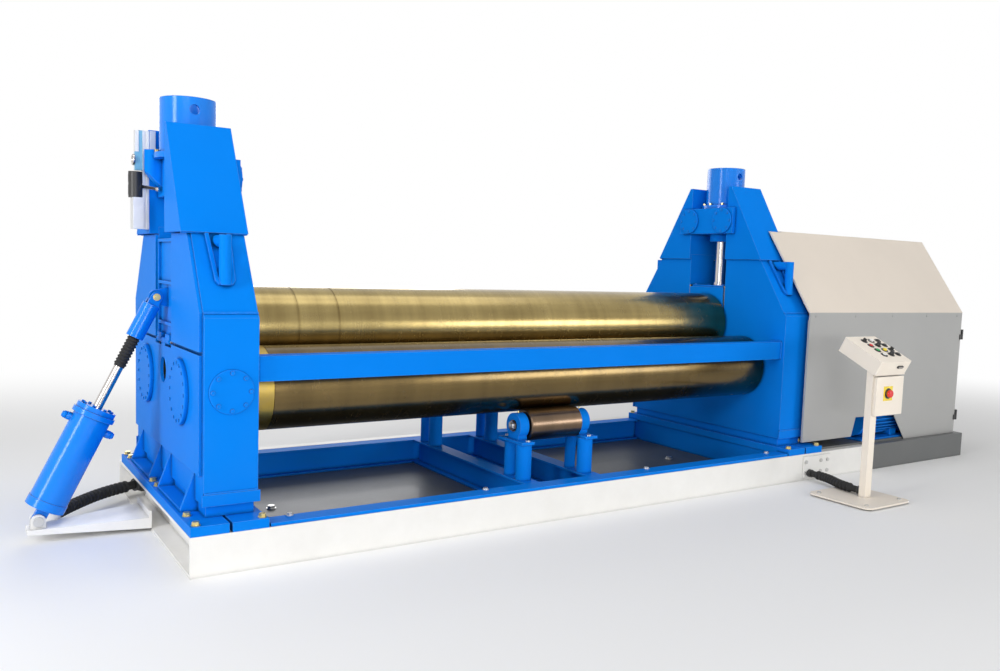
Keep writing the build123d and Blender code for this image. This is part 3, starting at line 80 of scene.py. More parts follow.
class Value:
    """A number socket of a node tree that takes part in Python sums."""

    def __init__(self, wiring: "Wiring", socket: bpy.types.NodeSocket) -> None:
        """Keep the socket and the wiring that adds its Math nodes."""
        self.wiring = wiring
        self.socket = socket

    def math(self, operation: str, *others: Union["Value", Number], first: bool = True) -> "Value":
        """Add a Math node.

        Args:
            operation: Blender's name of the operation.
            others: The other operands.
            first: Whether this value is the first operand.

        Returns:
            The result as a new value.
        """
        operands = (self, *others) if first else (*others, self)
        node = self.wiring.node("ShaderNodeMath", {"operation": operation})
        for socket, operand in zip(node.inputs, operands):
            self.wiring.feed(socket, operand)
        return Value(self.wiring, node.outputs[0])

    def __add__(self, other: Union["Value", Number]) -> "Value":
        """Sum."""
        return self.math("ADD", other)

    __radd__ = __add__

    def __sub__(self, other: Union["Value", Number]) -> "Value":
        """Difference."""
        return self.math("SUBTRACT", other)

    def __rsub__(self, other: Number) -> "Value":
        """Difference from a number."""
        return self.math("SUBTRACT", other, first=False)

    def __mul__(self, other: Union["Value", Number]) -> "Value":
        """Product."""
        return self.math("MULTIPLY", other)

    __rmul__ = __mul__

    def absolute(self) -> "Value":
        """Size without sign."""
        return self.math("ABSOLUTE")

    def most(self, other: "Value") -> "Value":
        """The larger of two values."""
        return self.math("MAXIMUM", other)

    def clamped(self) -> "Value":
        """Kept between nought and one."""
        return self.math("MINIMUM", 1.0).math("MAXIMUM", 0.0)

    def pushed(self, gain: float, down: float) -> "Value":
        """Stretched, lowered and kept between nought and one."""
        return (self * gain - down).clamped()

    def ramp(self, low: float, high: float) -> "Value":
        """Add a smooth step.

        Args:
            low: Where the step leaves nought.
            high: Where it reaches one.

        Returns:
            The step as a new value.
        """
        node = self.wiring.node(
            "ShaderNodeMapRange",
            {"interpolation_type": "SMOOTHSTEP"},
            {0: self, 1: low, 2: high, 3: 0.0, 4: 1.0},
        )
        return Value(self.wiring, node.outputs[0])


Feed = Union[Value, bpy.types.NodeSocket, Number, Sequence[float]]


class Wiring:
    """A node tree with short calls for its nodes."""

    def __init__(self, tree: bpy.types.NodeTree) -> None:
        """Start with an empty tree."""
        self.tree = tree
        tree.nodes.clear()

    def feed(self, socket: bpy.types.NodeSocket, value: Feed) -> None:
        """Link a socket to a value, or set it.

        Args:
            socket: The input.
            value: A value or socket to link, or a constant.
        """
        if isinstance(value, Value):
            self.tree.links.new(value.socket, socket)
        elif isinstance(value, bpy.types.NodeSocket):
            self.tree.links.new(value, socket)
        else:
            socket.default_value = value

    def node(
        self, kind: str, settings: dict | None = None, sockets: dict | None = None
    ) -> bpy.types.Node:
        """Add one node.

        Args:
            kind: Blender's type name.
            settings: Attributes that are set first.
            sockets: Input names or numbers with their values or links.

        Returns:
            The new node.
        """
        made = self.tree.nodes.new(kind)
        for key, value in (settings or {}).items():
            setattr(made, key, value)
        for key, value in (sockets or {}).items():
            self.feed(made.inputs[key], value)
        return made

    def seen(self) -> Value:
        """One for the rays that show the white background, nought for the others.

        Returns:
            The mask of camera, glossy and transmission rays.
        """
        rays = self.node("ShaderNodeLightPath").outputs
        shown = Value(self, rays["Is Camera Ray"])
        for kind in ("Is Glossy Ray", "Is Transmission Ray"):
            shown = shown.most(Value(self, rays[kind]))
        return shown


class Bench(Wiring):
    """The node tree of one material with a Principled shader."""

    def __init__(self, name: str) -> None:
        """Start a material.

        Args:
            name: The material's name.
        """
        self.material = bpy.data.materials.new(name)
        self.material.use_nodes = True
        super().__init__(self.material.node_tree)
        self.surface = self.node("ShaderNodeOutputMaterial").inputs["Surface"]
        self.shader = self.node("ShaderNodeBsdfPrincipled")
        self.feed(self.surface, self.shader.outputs["BSDF"])
        self.place = self.node("ShaderNodeTexCoord").outputs["Object"]

    def axes(self) -> tuple[Value, Value, Value]:
        """The three Object coordinates as values."""
        split = self.node("ShaderNodeSeparateXYZ", None, {0: self.place})
        return tuple(Value(self, out) for out in split.outputs)

    def stretched(self, scale: Point) -> bpy.types.NodeSocket:
        """Object coordinates with each axis scaled."""
        settings = {"operation": "MULTIPLY"}
        return self.node("ShaderNodeVectorMath", settings, {0: self.place, 1: scale}).outputs[0]

    def noise(
        self, scale: float, detail: float = 3.0, rough: float = 0.5, stretch: Point | None = None
    ) -> Value:
        """Add noise on Object coordinates.

        Args:
            scale: Grains per metre.
            detail: Number of finer layers.
            rough: Weight of the finer layers.
            stretch: Scale of each axis, for grain that runs one way.

        Returns:
            The noise, from nought to one.
        """
        where = self.place if stretch is None else self.stretched(stretch)
        sockets = {"Vector": where, "Scale": scale, "Detail": detail, "Roughness": rough}
        return Value(self, self.node("ShaderNodeTexNoise", None, sockets).outputs[0])

    def mix(self, share: Feed, first: Feed, second: Feed) -> bpy.types.NodeSocket:
        """Mix two colours.

        Args:
            share: Share of the second colour.
            first: Colour at nought.
            second: Colour at one.

        Returns:
            The mixed colour.
        """
        made = self.node("ShaderNodeMix", {"data_type": "RGBA"})
        for index, value in ((0, share), (6, first), (7, second)):
            self.feed(made.inputs[index], opaque(value))
        return made.outputs[2]

    def edges(self, radius: float, gain: float = 6.0) -> tuple[bpy.types.NodeSocket, Value]:
        """Rounded normals and a mask of the edges they round.

        Args:
            radius: Radius of the rounding in metres.
            gain: How fast the mask fills as the normal turns.

        Returns:
            The normal socket and the mask.
        """
        soft = self.node("ShaderNodeBevel", {"samples": 4}, {"Radius": radius}).outputs[0]
        hard = self.node("ShaderNodeNewGeometry").outputs["Normal"]
        settings = {"operation": "DOT_PRODUCT"}
        dot = self.node("ShaderNodeVectorMath", settings, {0: soft, 1: hard}).outputs["Value"]
        return soft, ((1.0 - Value(self, dot)) * gain).clamped()

    def hidden(self, reach: float) -> Value:
        """How deep a spot lies in a corner or seam.

        Args:
            reach: Distance in metres at which walls still count.

        Returns:
            Nought in the open, one in a closed gap.
        """
        sky = self.node("ShaderNodeAmbientOcclusion", {"samples": 6}, {"Distance": reach})
        return 1.0 - Value(self, sky.outputs["AO"])

    def bump(
        self, height: Value, strength: float, distance: float, normal: Feed | None = None
    ) -> bpy.types.NodeSocket:
        """Add a Bump node.

        Args:
            height: The relief.
            strength: Share of the relief that shows.
            distance: Height of the relief in metres.
            normal: The normal that is bumped, or none for the mesh's own.

        Returns:
            The bumped normal.
        """
        sockets = {"Height": height, "Strength": strength, "Distance": distance}
        if normal is not None:
            sockets["Normal"] = normal
        return self.node("ShaderNodeBump", None, sockets).outputs[0]

    def finish(self, **sockets: Feed) -> bpy.types.Material:
        """Feed the Principled shader.

        Args:
            sockets: Input names, with _ for a space, and what feeds them.

        Returns:
            The finished material.
        """
        for key, value in sockets.items():
            self.feed(self.shader.inputs[key.replace("_", " ")], opaque(value))
        return self.material


@dataclass(frozen=True)
class Paint:
    """Sprayed enamel or powder coat on steel."""

    name: str
    colour: Colour
    gloss: float = 0.25
    coat: float = 0.35
    coat_gloss: float = 0.08
    grain: float = 700.0
    grain_depth: float = 0.00012
    wave: float = 9.0
    drift: float = 0.07
    drift_scale: float = 1.7
    speck_scale: float = 38.0
    dust: float = 0.10
    dust_scale: float = 7.0
    dust_heights: tuple[float, float] = (0.02, 0.9)
    dust_colour: Colour = (0.30, 0.29, 0.27)
    edge: float = 0.0025
    edge_light: float = 0.25
    edge_fade: float = 0.35
    mirror: float = 0.3
    seam: float = 0.45
    seam_reach: float = 0.025
    seam_tone: float = 0.16
    seam_range: tuple[float, float] = (0.12, 0.75)
    dust_floor: float = 0.2
    dust_push: tuple[float, float] = (1.5, 0.45)
    chip_push: tuple[float, float] = (1.4, 0.25)
    speck_matt: float = 0.08
    dust_matt: float = 0.35
    peel: float = 0.35

    def build(self) -> bpy.types.Material:
        """Make the material: tone drift, low dust, edges lightened as wear and as a painted
        highlight, seams darkened as painted shade, and a sprayed grain.

        Returns:
            The finished material.
        """
        bench = Bench(self.name)
        soft, rim = bench.edges(self.edge)
        speck = bench.noise(self.speck_scale, detail=6.0, rough=0.65)
        low = 1.0 - bench.axes()[2].ramp(*self.dust_heights)
        patch = bench.noise(self.dust_scale, detail=5.0, rough=0.6).pushed(*self.dust_push)
        settled = low * (1.0 - self.dust_floor) + self.dust_floor
        dusty = (patch * settled * self.dust).clamped()
        deep = toned(self.colour, 1 - self.drift)
        pale = toned(self.colour, 1 + self.drift, 0.02 * self.drift)
        body = bench.mix(bench.noise(self.drift_scale, detail=4.0), deep, pale)
        body = bench.mix(dusty, body, self.dust_colour)
        # Convex edges lightened in a chipped pattern: partly wear, partly a painted edge
        # highlight.
        wear_and_painted_sheen = (rim * speck.pushed(*self.chip_push) * self.edge_light).clamped()
        body = bench.mix(wear_and_painted_sheen, body, toned(self.colour, 1 - self.edge_fade, self.edge_fade))
        # Seams, corners and gaps darkened by an ambient-occlusion mask: painted shade.
        corner = bench.hidden(self.seam_reach).ramp(*self.seam_range)
        painted_seam_shade = corner * (speck * 0.5 + 0.75) * self.seam
        body = bench.mix(painted_seam_shade.clamped(), body, toned(self.colour, self.seam_tone))
        spray = bench.noise(self.grain, detail=2.0) + bench.noise(self.wave, detail=2.0) * 2.0
        return bench.finish(
            Base_Color=body,
            Roughness=(self.gloss + speck * self.speck_matt + dusty * self.dust_matt).clamped(),
            Metallic=0.0,
            Coat_Weight=self.coat,
            Coat_Roughness=self.coat_gloss,
            Specular_IOR_Level=self.mirror,
            Normal=bench.bump(spray, self.peel, self.grain_depth, soft),
        )


@dataclass(frozen=True)
class GroundRoll:
    """Ground and oiled roll steel with a bronze cast, turned about an axis along X."""

    name: str
    pale: Colour = (0.50, 0.40, 0.20)
    dark: Colour = (0.13, 0.085, 0.028)
    gloss: float = 0.17
    streaks: float = 1.1
    lines: tuple[float, ...] = ()
    line_half: float = 0.012
    line_depth: float = 0.25
    stain_colour: Colour = (0.12, 0.09, 0.05)
    stain_share: float = 0.35
    ring_stretch: Point = (9.0, 0.35, 0.35)
    mark_stretch: Point = (420.0, 3.0, 3.0)
    oil_stretch: Point = (2.2, 14.0, 14.0)
    streak_stretch: Point = (0.16, 13.0, 13.0)
    ring_share: float = 0.75
    blotch_share: float = 0.5
    oil_share: float = 0.25
    tone_drop: float = 0.28
    stain_push: tuple[float, float] = (2.2, 1.15)
    coat: float = 0.25
    coat_gloss: float = 0.12
    relief: float = 0.0002

    def build(self) -> bpy.types.Material:
        """Make the material: rings of tone along X, heat blotches, turning marks, oil streaks,
        painted reflection bands along X and painted shade in the grooves.

        Returns:
            The finished material.
        """
        bench = Bench(self.name)
        along = bench.axes()[0]
        rings = bench.noise(1.0, detail=6.0, rough=0.7, stretch=self.ring_stretch)
        marks = bench.noise(1.0, detail=3.0, rough=0.6, stretch=self.mark_stretch)
        blotch = bench.noise(2.6, detail=5.0, rough=0.6)
        oil = bench.noise(1.0, detail=5.0, rough=0.65, stretch=self.oil_stretch)
        # Bands of tone that run along the roll and change around it: painted reflections of lamps.
        reflection_band = bench.noise(1.0, detail=2.0, stretch=self.streak_stretch) - 0.5
        tone = rings * self.ring_share + blotch * self.blotch_share + oil * self.oil_share
        tone = (tone + reflection_band * self.streaks - self.tone_drop).clamped()
        # Darker lines at the roll's grooves: painted shade in the grooves.
        for place in self.lines:
            line = 1.0 - (along - place).absolute().ramp(0.0, self.line_half)
            tone = (tone - line * self.line_depth).clamped()
        body = bench.mix(tone, self.dark, self.pale)
        stain = bench.noise(14.0, detail=6.0, rough=0.7).pushed(*self.stain_push)
        body = bench.mix(stain * self.stain_share, body, self.stain_colour)
        return bench.finish(
            Base_Color=body,
            Metallic=1.0,
            Roughness=(self.gloss + marks * 0.10 + stain * 0.12 + oil * 0.05).clamped(),
            Coat_Weight=self.coat,
            Coat_Roughness=self.coat_gloss,
            Normal=bench.bump(marks + rings * 0.4, 0.25, self.relief),
        )


@dataclass(frozen=True)
class BareMetal:
    """Plated, turned or polished metal."""

    name: str
    colour: Colour
    gloss: float = 0.25
    tarnish: Colour = (0.25, 0.22, 0.18)
    stain: float = 0.35
    scratch: Point = (60.0, 60.0, 400.0)
    edge: float = 0.0008
    edge_light: float = 0.3
    edge_gain: float = 1.25
    patch_push: tuple[float, float] = (1.8, 0.7)
    relief: float = 0.00008

    def build(self) -> bpy.types.Material:
        """Make the material: fine tool marks, stains in patches and uneven polish.

        Returns:
            The finished material.
        """
        bench = Bench(self.name)
        marks = bench.noise(1.0, rough=0.6, stretch=self.scratch)
        patch = bench.noise(24.0, detail=5.0, rough=0.65).pushed(*self.patch_push)
        body = bench.mix(patch * self.stain, self.colour, self.tarnish)
        soft, rim = bench.edges(self.edge)
        body = bench.mix(rim * self.edge_light, body, toned(self.colour, self.edge_gain))
        return bench.finish(
            Base_Color=body,
            Metallic=1.0,
            Roughness=(self.gloss + marks * 0.12 + patch * 0.15).clamped(),
            Normal=bench.bump(marks, 0.15, self.relief, soft),
        )


@dataclass(frozen=True)
class Moulded:
    """Moulded plastic or rubber."""

    name: str
    colour: Colour
    gloss: float = 0.4
    grain: float = 1500.0
    grain_depth: float = 0.00006
    dust: float = 0.15
    mirror: float = 0.5
    coat: float = 0.0
    coat_gloss: float = 0.1
    edge: float = 0.0006
    edge_light: float = 0.15
    edge_lift: float = 0.2
    dust_push: tuple[float, float] = (1.7, 0.55)
    dust_tone: tuple[float, float] = (0.6, 0.16)
    dust_matt: float = 0.6

    def build(self) -> bpy.types.Material:
        """Make the material: fine moulding grain, dust in patches and scuffed edges.

        Returns:
            The finished material.
        """
        bench = Bench(self.name)
        patch = bench.noise(30.0, detail=5.0, rough=0.6).pushed(*self.dust_push)
        dusty = (patch * self.dust).clamped()
        body = bench.mix(dusty, self.colour, toned(self.colour, *self.dust_tone))
        soft, rim = bench.edges(self.edge)
        body = bench.mix(rim * self.edge_light, body, toned(self.colour, 1.0, self.edge_lift))
        return bench.finish(
            Base_Color=body,
            Metallic=0.0,
            Roughness=(self.gloss + dusty * self.dust_matt).clamped(),
            Coat_Weight=self.coat,
            Coat_Roughness=self.coat_gloss,
            Specular_IOR_Level=self.mirror,
            Normal=bench.bump(bench.noise(self.grain, detail=2.0), 0.3, self.grain_depth, soft),
        )


Finish = Union[Paint, GroundRoll, BareMetal, Moulded]
POWDER = {"coat": 0.05, "grain": 420.0, "grain_depth": 0.00025}


class Slot(Enum):
    """The record's material slots, each with its finish."""

    blue_paint = Paint(
        "enamel_blue", (0.001, 0.212, 0.80), gloss=0.34, coat=0.0, dust=0.03, mirror=0.015,
        grain_depth=0.00004, seam=0.9, edge=0.0035, edge_light=0.6,
    )
    light_blue_paint = Paint("enamel_pale_blue", (0.20, 0.50, 0.72))
    white_paint = Paint(
        "enamel_white", (0.87, 0.86, 0.83), gloss=0.35, coat=0.05, dust=0.2,
        dust_colour=(0.5, 0.47, 0.42),
    )
    cream_paint = Paint("powder_cream", (0.76, 0.68, 0.59), gloss=0.42, **POWDER)
    grey_paint = Paint("powder_grey", (0.40, 0.40, 0.392), gloss=0.42, **POWDER)
    dark_paint = Paint("powder_dark_grey", (0.135, 0.14, 0.14), gloss=0.45, **POWDER)
    tray_paint = Paint("enamel_slate", (0.058, 0.075, 0.092), gloss=0.4, coat=0.05, dust=0.2)
    roll_steel = GroundRoll("roll_steel", (0.38, 0.27, 0.17), (0.16, 0.11, 0.07))
    bronze = BareMetal("turned_bronze", (0.44, 0.31, 0.07), scratch=(500.0, 40.0, 40.0))
    chrome = BareMetal("hard_chrome", (0.56, 0.53, 0.51), gloss=0.12, stain=0.12)
    bolt_steel = BareMetal("bright_steel", (0.62, 0.62, 0.61), gloss=0.3)
    yellow_zinc = BareMetal(
        "yellow_zinc", (0.78, 0.60, 0.24), gloss=0.28, tarnish=(0.45, 0.42, 0.20)
    )
    aluminium = BareMetal("anodised_aluminium", (0.72, 0.73, 0.74), gloss=0.36, stain=0.15)
    black_rubber = Moulded(
        "black_rubber", (0.008, 0.008, 0.008), gloss=0.16, dust=0.03, mirror=0.5, coat=0.3
    )
    black_plastic = Moulded("black_plastic", (0.016, 0.016, 0.017), gloss=0.35)
    red_plastic = Moulded("red_plastic", (0.70, 0.012, 0.012), gloss=0.22, dust=0.05)
    green_plastic = Moulded("green_plastic", (0.01, 0.30, 0.06), gloss=0.25, dust=0.05)
    white_plastic = Moulded("white_plastic", (0.80, 0.80, 0.78), gloss=0.28, dust=0.08)
    yellow_plastic = Moulded("yellow_plastic", (0.85, 0.60, 0.01), gloss=0.35, dust=0.08)


class Body(Enum):
    """The CAD bodies that new pieces ride on."""

    MACHINE = "machine"
    TILT_BARREL = "tilt_barrel"
    TILT_ROD = "tilt_rod"
    SUPPORT_FRONT = "support_front"
    SUPPORT_REAR = "support_rear"


class Element(Enum):
    """What a selection in edit mode picks."""

    FACE = "FACE"
    EDGE = "EDGE"
    VERT = "VERT"


def material_of(finish: Finish) -> bpy.types.Material:
    """The material of a finish, made at its first use."""
    found = bpy.data.materials.get(finish.name)
    return found if found is not None else finish.build()


def dress(piece: bpy.types.Object, slot: Slot, rides: Body) -> bpy.types.Object:
    """Give a new piece its finish and body.

    Args:
        piece: The finished object.
        slot: The record's slot it belongs to.
        rides: The CAD body it rides on.

    Returns:
        The same object.
    """
    body = rides.value
    piece.data.materials.clear()
    piece.data.materials.append(material_of(slot.value))
    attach(piece, body)
    LOG.info("piece %s rides %s", piece.name, body)
    return piece


@dataclass
class NodeFinishes:
    """Finishes of the CAD nodes, by the record's slots."""

    special: dict[str, Finish] = field(default_factory=dict)

    def apply(self) -> None:
        """Put a material on every CAD node."""
        slots = {row["node"]: row["material_slot"] for row in frame["record"]["subparts"]}
        for name, node in frame["nodes"].items():
            material = material_of(self.special.get(name, Slot[slots[name]].value))
            node.data.materials.clear()
            node.data.materials.append(material)
            LOG.info("node %s takes %s", name, material.name)


@dataclass
class RibbedHose:
    """A free corrugated hose along a route of the part's source, as one mesh tube."""

    name: str
    node: str
    route: tuple[Point, ...]
    radius: float
    pitch: float = 0.0265
    rib: float = 0.0085
    plain: float = 0.03
    sides: int = 28
    smoothness: int = 64

    def centreline(self) -> list[Vector]:
        """Read the smooth NURBS line through the route.

        Returns:
            Points along the line.
        """
        curve = bpy.data.curves.new(self.name + "_route", "CURVE")
        curve.dimensions = "3D"
        curve.resolution_u = self.smoothness
        spline = curve.splines.new("NURBS")
        spline.points.add(len(self.route) - 1)
        for point, place in zip(spline.points, self.route):
            point.co = (*place, 1.0)
        spline.order_u = 3
        spline.use_endpoint_u = True
        holder = bpy.data.objects.new(self.name + "_route", curve)
        bpy.context.scene.collection.objects.link(holder)
        mesh = bpy.data.meshes.new_from_object(holder)
        points = [vertex.co.copy() for vertex in mesh.vertices]
        bpy.data.objects.remove(holder)
        bpy.data.curves.remove(curve)
        bpy.data.meshes.remove(mesh)
        return points

    def stations(self, length: float) -> list[tuple[float, float]]:
        """Lay out the ribs.

        Args:
            length: Length of the hose's centre line.

        Returns:
            Distances along the hose with the radius at each.
        """
        low = self.radius - self.rib
        count = int((length - 2 * self.plain) / self.pitch)
        start = (length - count * self.pitch) / 2
        rows = [(0.0, low), (start * 0.5, low)]
        for i in range(count):
            rows += [
                (start + (i + share) * self.pitch, low + rise * self.rib)
                for share, rise in RIB_PROFILE
            ]
        return rows + [(length - start * 0.5, low), (length, low)]

    def ring(
        self, line: list[Vector], reach: list[float], at: float, radius: float
    ) -> list[Vector]:
        """Set out one ring of the tube.

        Args:
            line: Points of the centre line.
            reach: Distance of each point from the start.
            at: Distance of the ring from the start.
            radius: Radius of the ring.

        Returns:
            The ring's points.
        """
        last = len(line) - 1
        index = min(bisect_left(reach, at, 1), last) - 1
        share = (at - reach[index]) / max(reach[index + 1] - reach[index], 1e-9)
        centre = line[index].lerp(line[index + 1], min(max(share, 0.0), 1.0))
        ahead = (line[min(index + 2, last)] - line[max(index - 1, 0)]).normalized()
        side = ahead.cross(Vector(UP)).normalized()
        up = side.cross(ahead)
        turns = [2 * math.pi * step / self.sides for step in range(self.sides)]
        return [centre + radius * (math.cos(t) * side + math.sin(t) * up) for t in turns]

    def tube(self, line: list[Vector], reach: list[float]) -> bpy.types.Mesh:
        """Skin the rings with faces and close both ends.

        Args:
            line: Points of the centre line.
            reach: Distance of each point from the start.

        Returns:
            The mesh of the hose.
        """
        mesh = bpy.data.meshes.new(self.name)
        shape = bmesh.new()
        rings = [
            [shape.verts.new(point) for point in self.ring(line, reach, at, radius)]
            for at, radius in self.stations(reach[-1])
        ]
        for low, high in zip(rings, rings[1:]):
            for i in range(self.sides):
                j = (i + 1) % self.sides
                shape.faces.new((low[i], low[j], high[j], high[i]))
        shape.faces.new(rings[0])
        shape.faces.new(rings[-1])
        bmesh.ops.recalc_face_normals(shape, faces=shape.faces[:])
        shape.to_mesh(mesh)
        shape.free()
        mesh.shade_smooth()
        return mesh

    def build(self) -> bpy.types.Object:
        """Returns:
            The finished hose.
        """
        line = self.centreline()
        reach = [0.0]
        for before, after in zip(line, line[1:]):
            reach.append(reach[-1] + (after - before).length)
        piece = bpy.data.objects.new(self.name, self.tube(line, reach))
        bpy.context.scene.collection.objects.link(piece)
        dress(piece, Slot.black_rubber, Body.MACHINE)
        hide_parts(self.node)
        return piece


class Workpiece:
    """One new piece, shaped with edit-mode tools; its mesh stays in world coordinates."""

    def __init__(self, name: str) -> None:
        """Clear the selection and keep the name."""
        bpy.ops.object.select_all(action="DESELECT")
        self.name = name

    def adopt(self) -> "Workpiece":
        """Take over the primitive that was just added.

        Returns:
            The same piece.
        """
        self.item = bpy.context.active_object
        self.item.name = self.item.data.name = self.name
        bpy.ops.object.transform_apply(location=True, rotation=True, scale=True)
        return self

    def cylinder(self, radius: float, depth: float, sides: int) -> "Workpiece":
        """Start from an upright cylinder that stands on the origin.

        Args:
            radius: Radius of its points.
            depth: Height.
            sides: Number of side faces.

        Returns:
            The same piece.
        """
        bpy.ops.mesh.primitive_cylinder_add(
            vertices=sides, radius=radius, depth=depth, location=(0.0, 0.0, depth / 2)
        )
        return self.adopt()

    def block(self, low: Point, high: Point) -> "Workpiece":
        """Start from a box.

        Args:
            low: One corner.
            high: The corner across.

        Returns:
            The same piece.
        """
        middle = [(a + b) / 2 for a, b in zip(low, high)]
        size = [b - a for a, b in zip(low, high)]
        bpy.ops.mesh.primitive_cube_add(size=1.0, location=middle, scale=size)
        return self.adopt()

    def pick(self, test: Test, kind: Element = Element.FACE) -> "Workpiece":
        """Select in edit mode by place and direction.

        Args:
            test: Gets the middle and the normal of a face or point, or the middle and the run
                of an edge.
            kind: What is picked.

        Returns:
            The same piece, in edit mode.
        """
        bpy.ops.object.mode_set(mode="EDIT")
        bpy.ops.mesh.select_mode(type=kind.value)
        bpy.ops.mesh.select_all(action="DESELECT")
        bpy.ops.object.mode_set(mode="OBJECT")
        mesh = self.item.data
        if kind is Element.FACE:
            for face in mesh.polygons:
                face.select = test(face.center, face.normal)
        elif kind is Element.VERT:
            for point in mesh.vertices:
                point.select = test(point.co, point.normal)
        else:
            for edge in mesh.edges:
                start, end = (mesh.vertices[i].co for i in edge.vertices)
                edge.select = test((start + end) / 2, end - start)
        bpy.ops.object.mode_set(mode="EDIT")
        return self

    def top(self) -> "Workpiece":
        """Select the faces that look up."""
        return self.pick(lambda centre, normal: normal.z > 0.9)

    def extrude(self, rise: float) -> "Workpiece":
        """Extrude the selected faces upwards."""
        bpy.ops.mesh.extrude_region_move(TRANSFORM_OT_translate={"value": (0.0, 0.0, rise)})
        return self

    def inset(self, width: float) -> "Workpiece":
        """Inset the selected faces."""
        bpy.ops.mesh.inset(thickness=width, depth=0.0)
        return self

    def scale(self, across: float, deep: float, height: float = 0.0) -> "Workpiece":
        """Scale the selection about the upright axis.

        Args:
            across: Factor along X.
            deep: Factor along Y.
            height: Height of the selection.

        Returns:
            The same piece.
        """
        bpy.ops.transform.resize(value=(across, deep, 1.0), center_override=(0.0, 0.0, height))
        return self

    def subdivide(self, cuts: int) -> "Workpiece":
        """Subdivide the selected edges."""
        bpy.ops.mesh.subdivide(number_cuts=cuts)
        return self

    def rounded(self, width: float, segments: int = 2, angle: float = 40.0) -> "Workpiece":
        """Round the sharp edges with a bevel that is applied.

        Args:
            width: Width of the bevel.
            segments: Number of its faces.
            angle: Smallest angle of a sharp edge, in degrees.

        Returns:
            The same piece.
        """
        bpy.ops.object.mode_set(mode="OBJECT")
        bevel = self.item.modifiers.new("rounding", "BEVEL")
        bevel.width, bevel.segments = width, segments
        bevel.limit_method = "ANGLE"
        bevel.angle_limit = math.radians(angle)
        bpy.ops.object.modifier_apply(modifier=bevel.name)
        return self

    def laid(self, place: Sequence[float], axis: Sequence[float] = UP) -> "Workpiece":
        """Turn the upright axis along a direction and move the piece to a place.

        Args:
            place: Where the origin goes.
            axis: Where the upright axis points.

        Returns:
            The same piece.
        """
        bpy.ops.object.mode_set(mode="OBJECT")
        self.item.location = place
        self.item.rotation_euler = Vector(axis).to_track_quat("Z", "Y").to_euler()
        bpy.ops.object.transform_apply(location=True, rotation=True, scale=True)
        return self

    def repeated(self, shifts: Sequence[Point]) -> "Workpiece":
        """Copy the piece, each copy with its own mesh, and join the copies.

        Args:
            shifts: Where each copy goes.

        Returns:
            The same piece.
        """
        bpy.ops.object.mode_set(mode="OBJECT")
        copies = []
        for shift in shifts[1:]:
            bpy.ops.object.select_all(action="DESELECT")
            self.item.select_set(True)
            bpy.context.view_layer.objects.active = self.item
            bpy.ops.object.duplicate(linked=False)
            copies.append(bpy.context.active_object)
            copies[-1].location = shift
        self.item.location = shifts[0]
        return self.joined(copies)

    def joined(self, others: Sequence[bpy.types.Object]) -> "Workpiece":
        """Join other objects into this one.

        Args:
            others: The objects that are taken in.

        Returns:
            The same piece.
        """
        bpy.ops.object.mode_set(mode="OBJECT")
        for piece in (*others, self.item):
            piece.select_set(True)
        bpy.context.view_layer.objects.active = self.item
        bpy.ops.object.transform_apply(location=True, rotation=True, scale=True)
        bpy.ops.object.join()
        return self

    def done(self, slot: Slot, rides: Body = Body.MACHINE) -> bpy.types.Object:
        """Merge doubles, turn the normals out, smooth by angle and dress the piece.

        Args:
            slot: The record's slot it belongs to.
            rides: The CAD body it rides on.

        Returns:
            The finished object.
        """
        bpy.ops.object.mode_set(mode="EDIT")
        bpy.ops.mesh.select_all(action="SELECT")
        bpy.ops.mesh.remove_doubles(threshold=MERGE_DISTANCE)
        bpy.ops.mesh.normals_make_consistent(inside=False)
        bpy.ops.object.mode_set(mode="OBJECT")
        bpy.ops.object.shade_smooth_by_angle(angle=SMOOTH_ANGLE)
        return dress(self.item, slot, rides)


@dataclass(frozen=True)
class Stepped:
    """A short round or hexagon fitting with inset steps on its top."""

    radius: float
    depth: float
    sides: int
    steps: tuple[tuple[float, float], ...]
    rounding: float
    segments: int = 2

    def model(self, name: str) -> Workpiece:
        """Model the fitting upright on the origin.

        Args:
            name: Name of the piece.

        Returns:
            The piece, not yet dressed.
        """
        piece = Workpiece(name).cylinder(self.radius, self.depth, self.sides).top()
        for width, rise in self.steps:
            piece.inset(width).extrude(rise)
        return piece.rounded(self.rounding, self.segments)


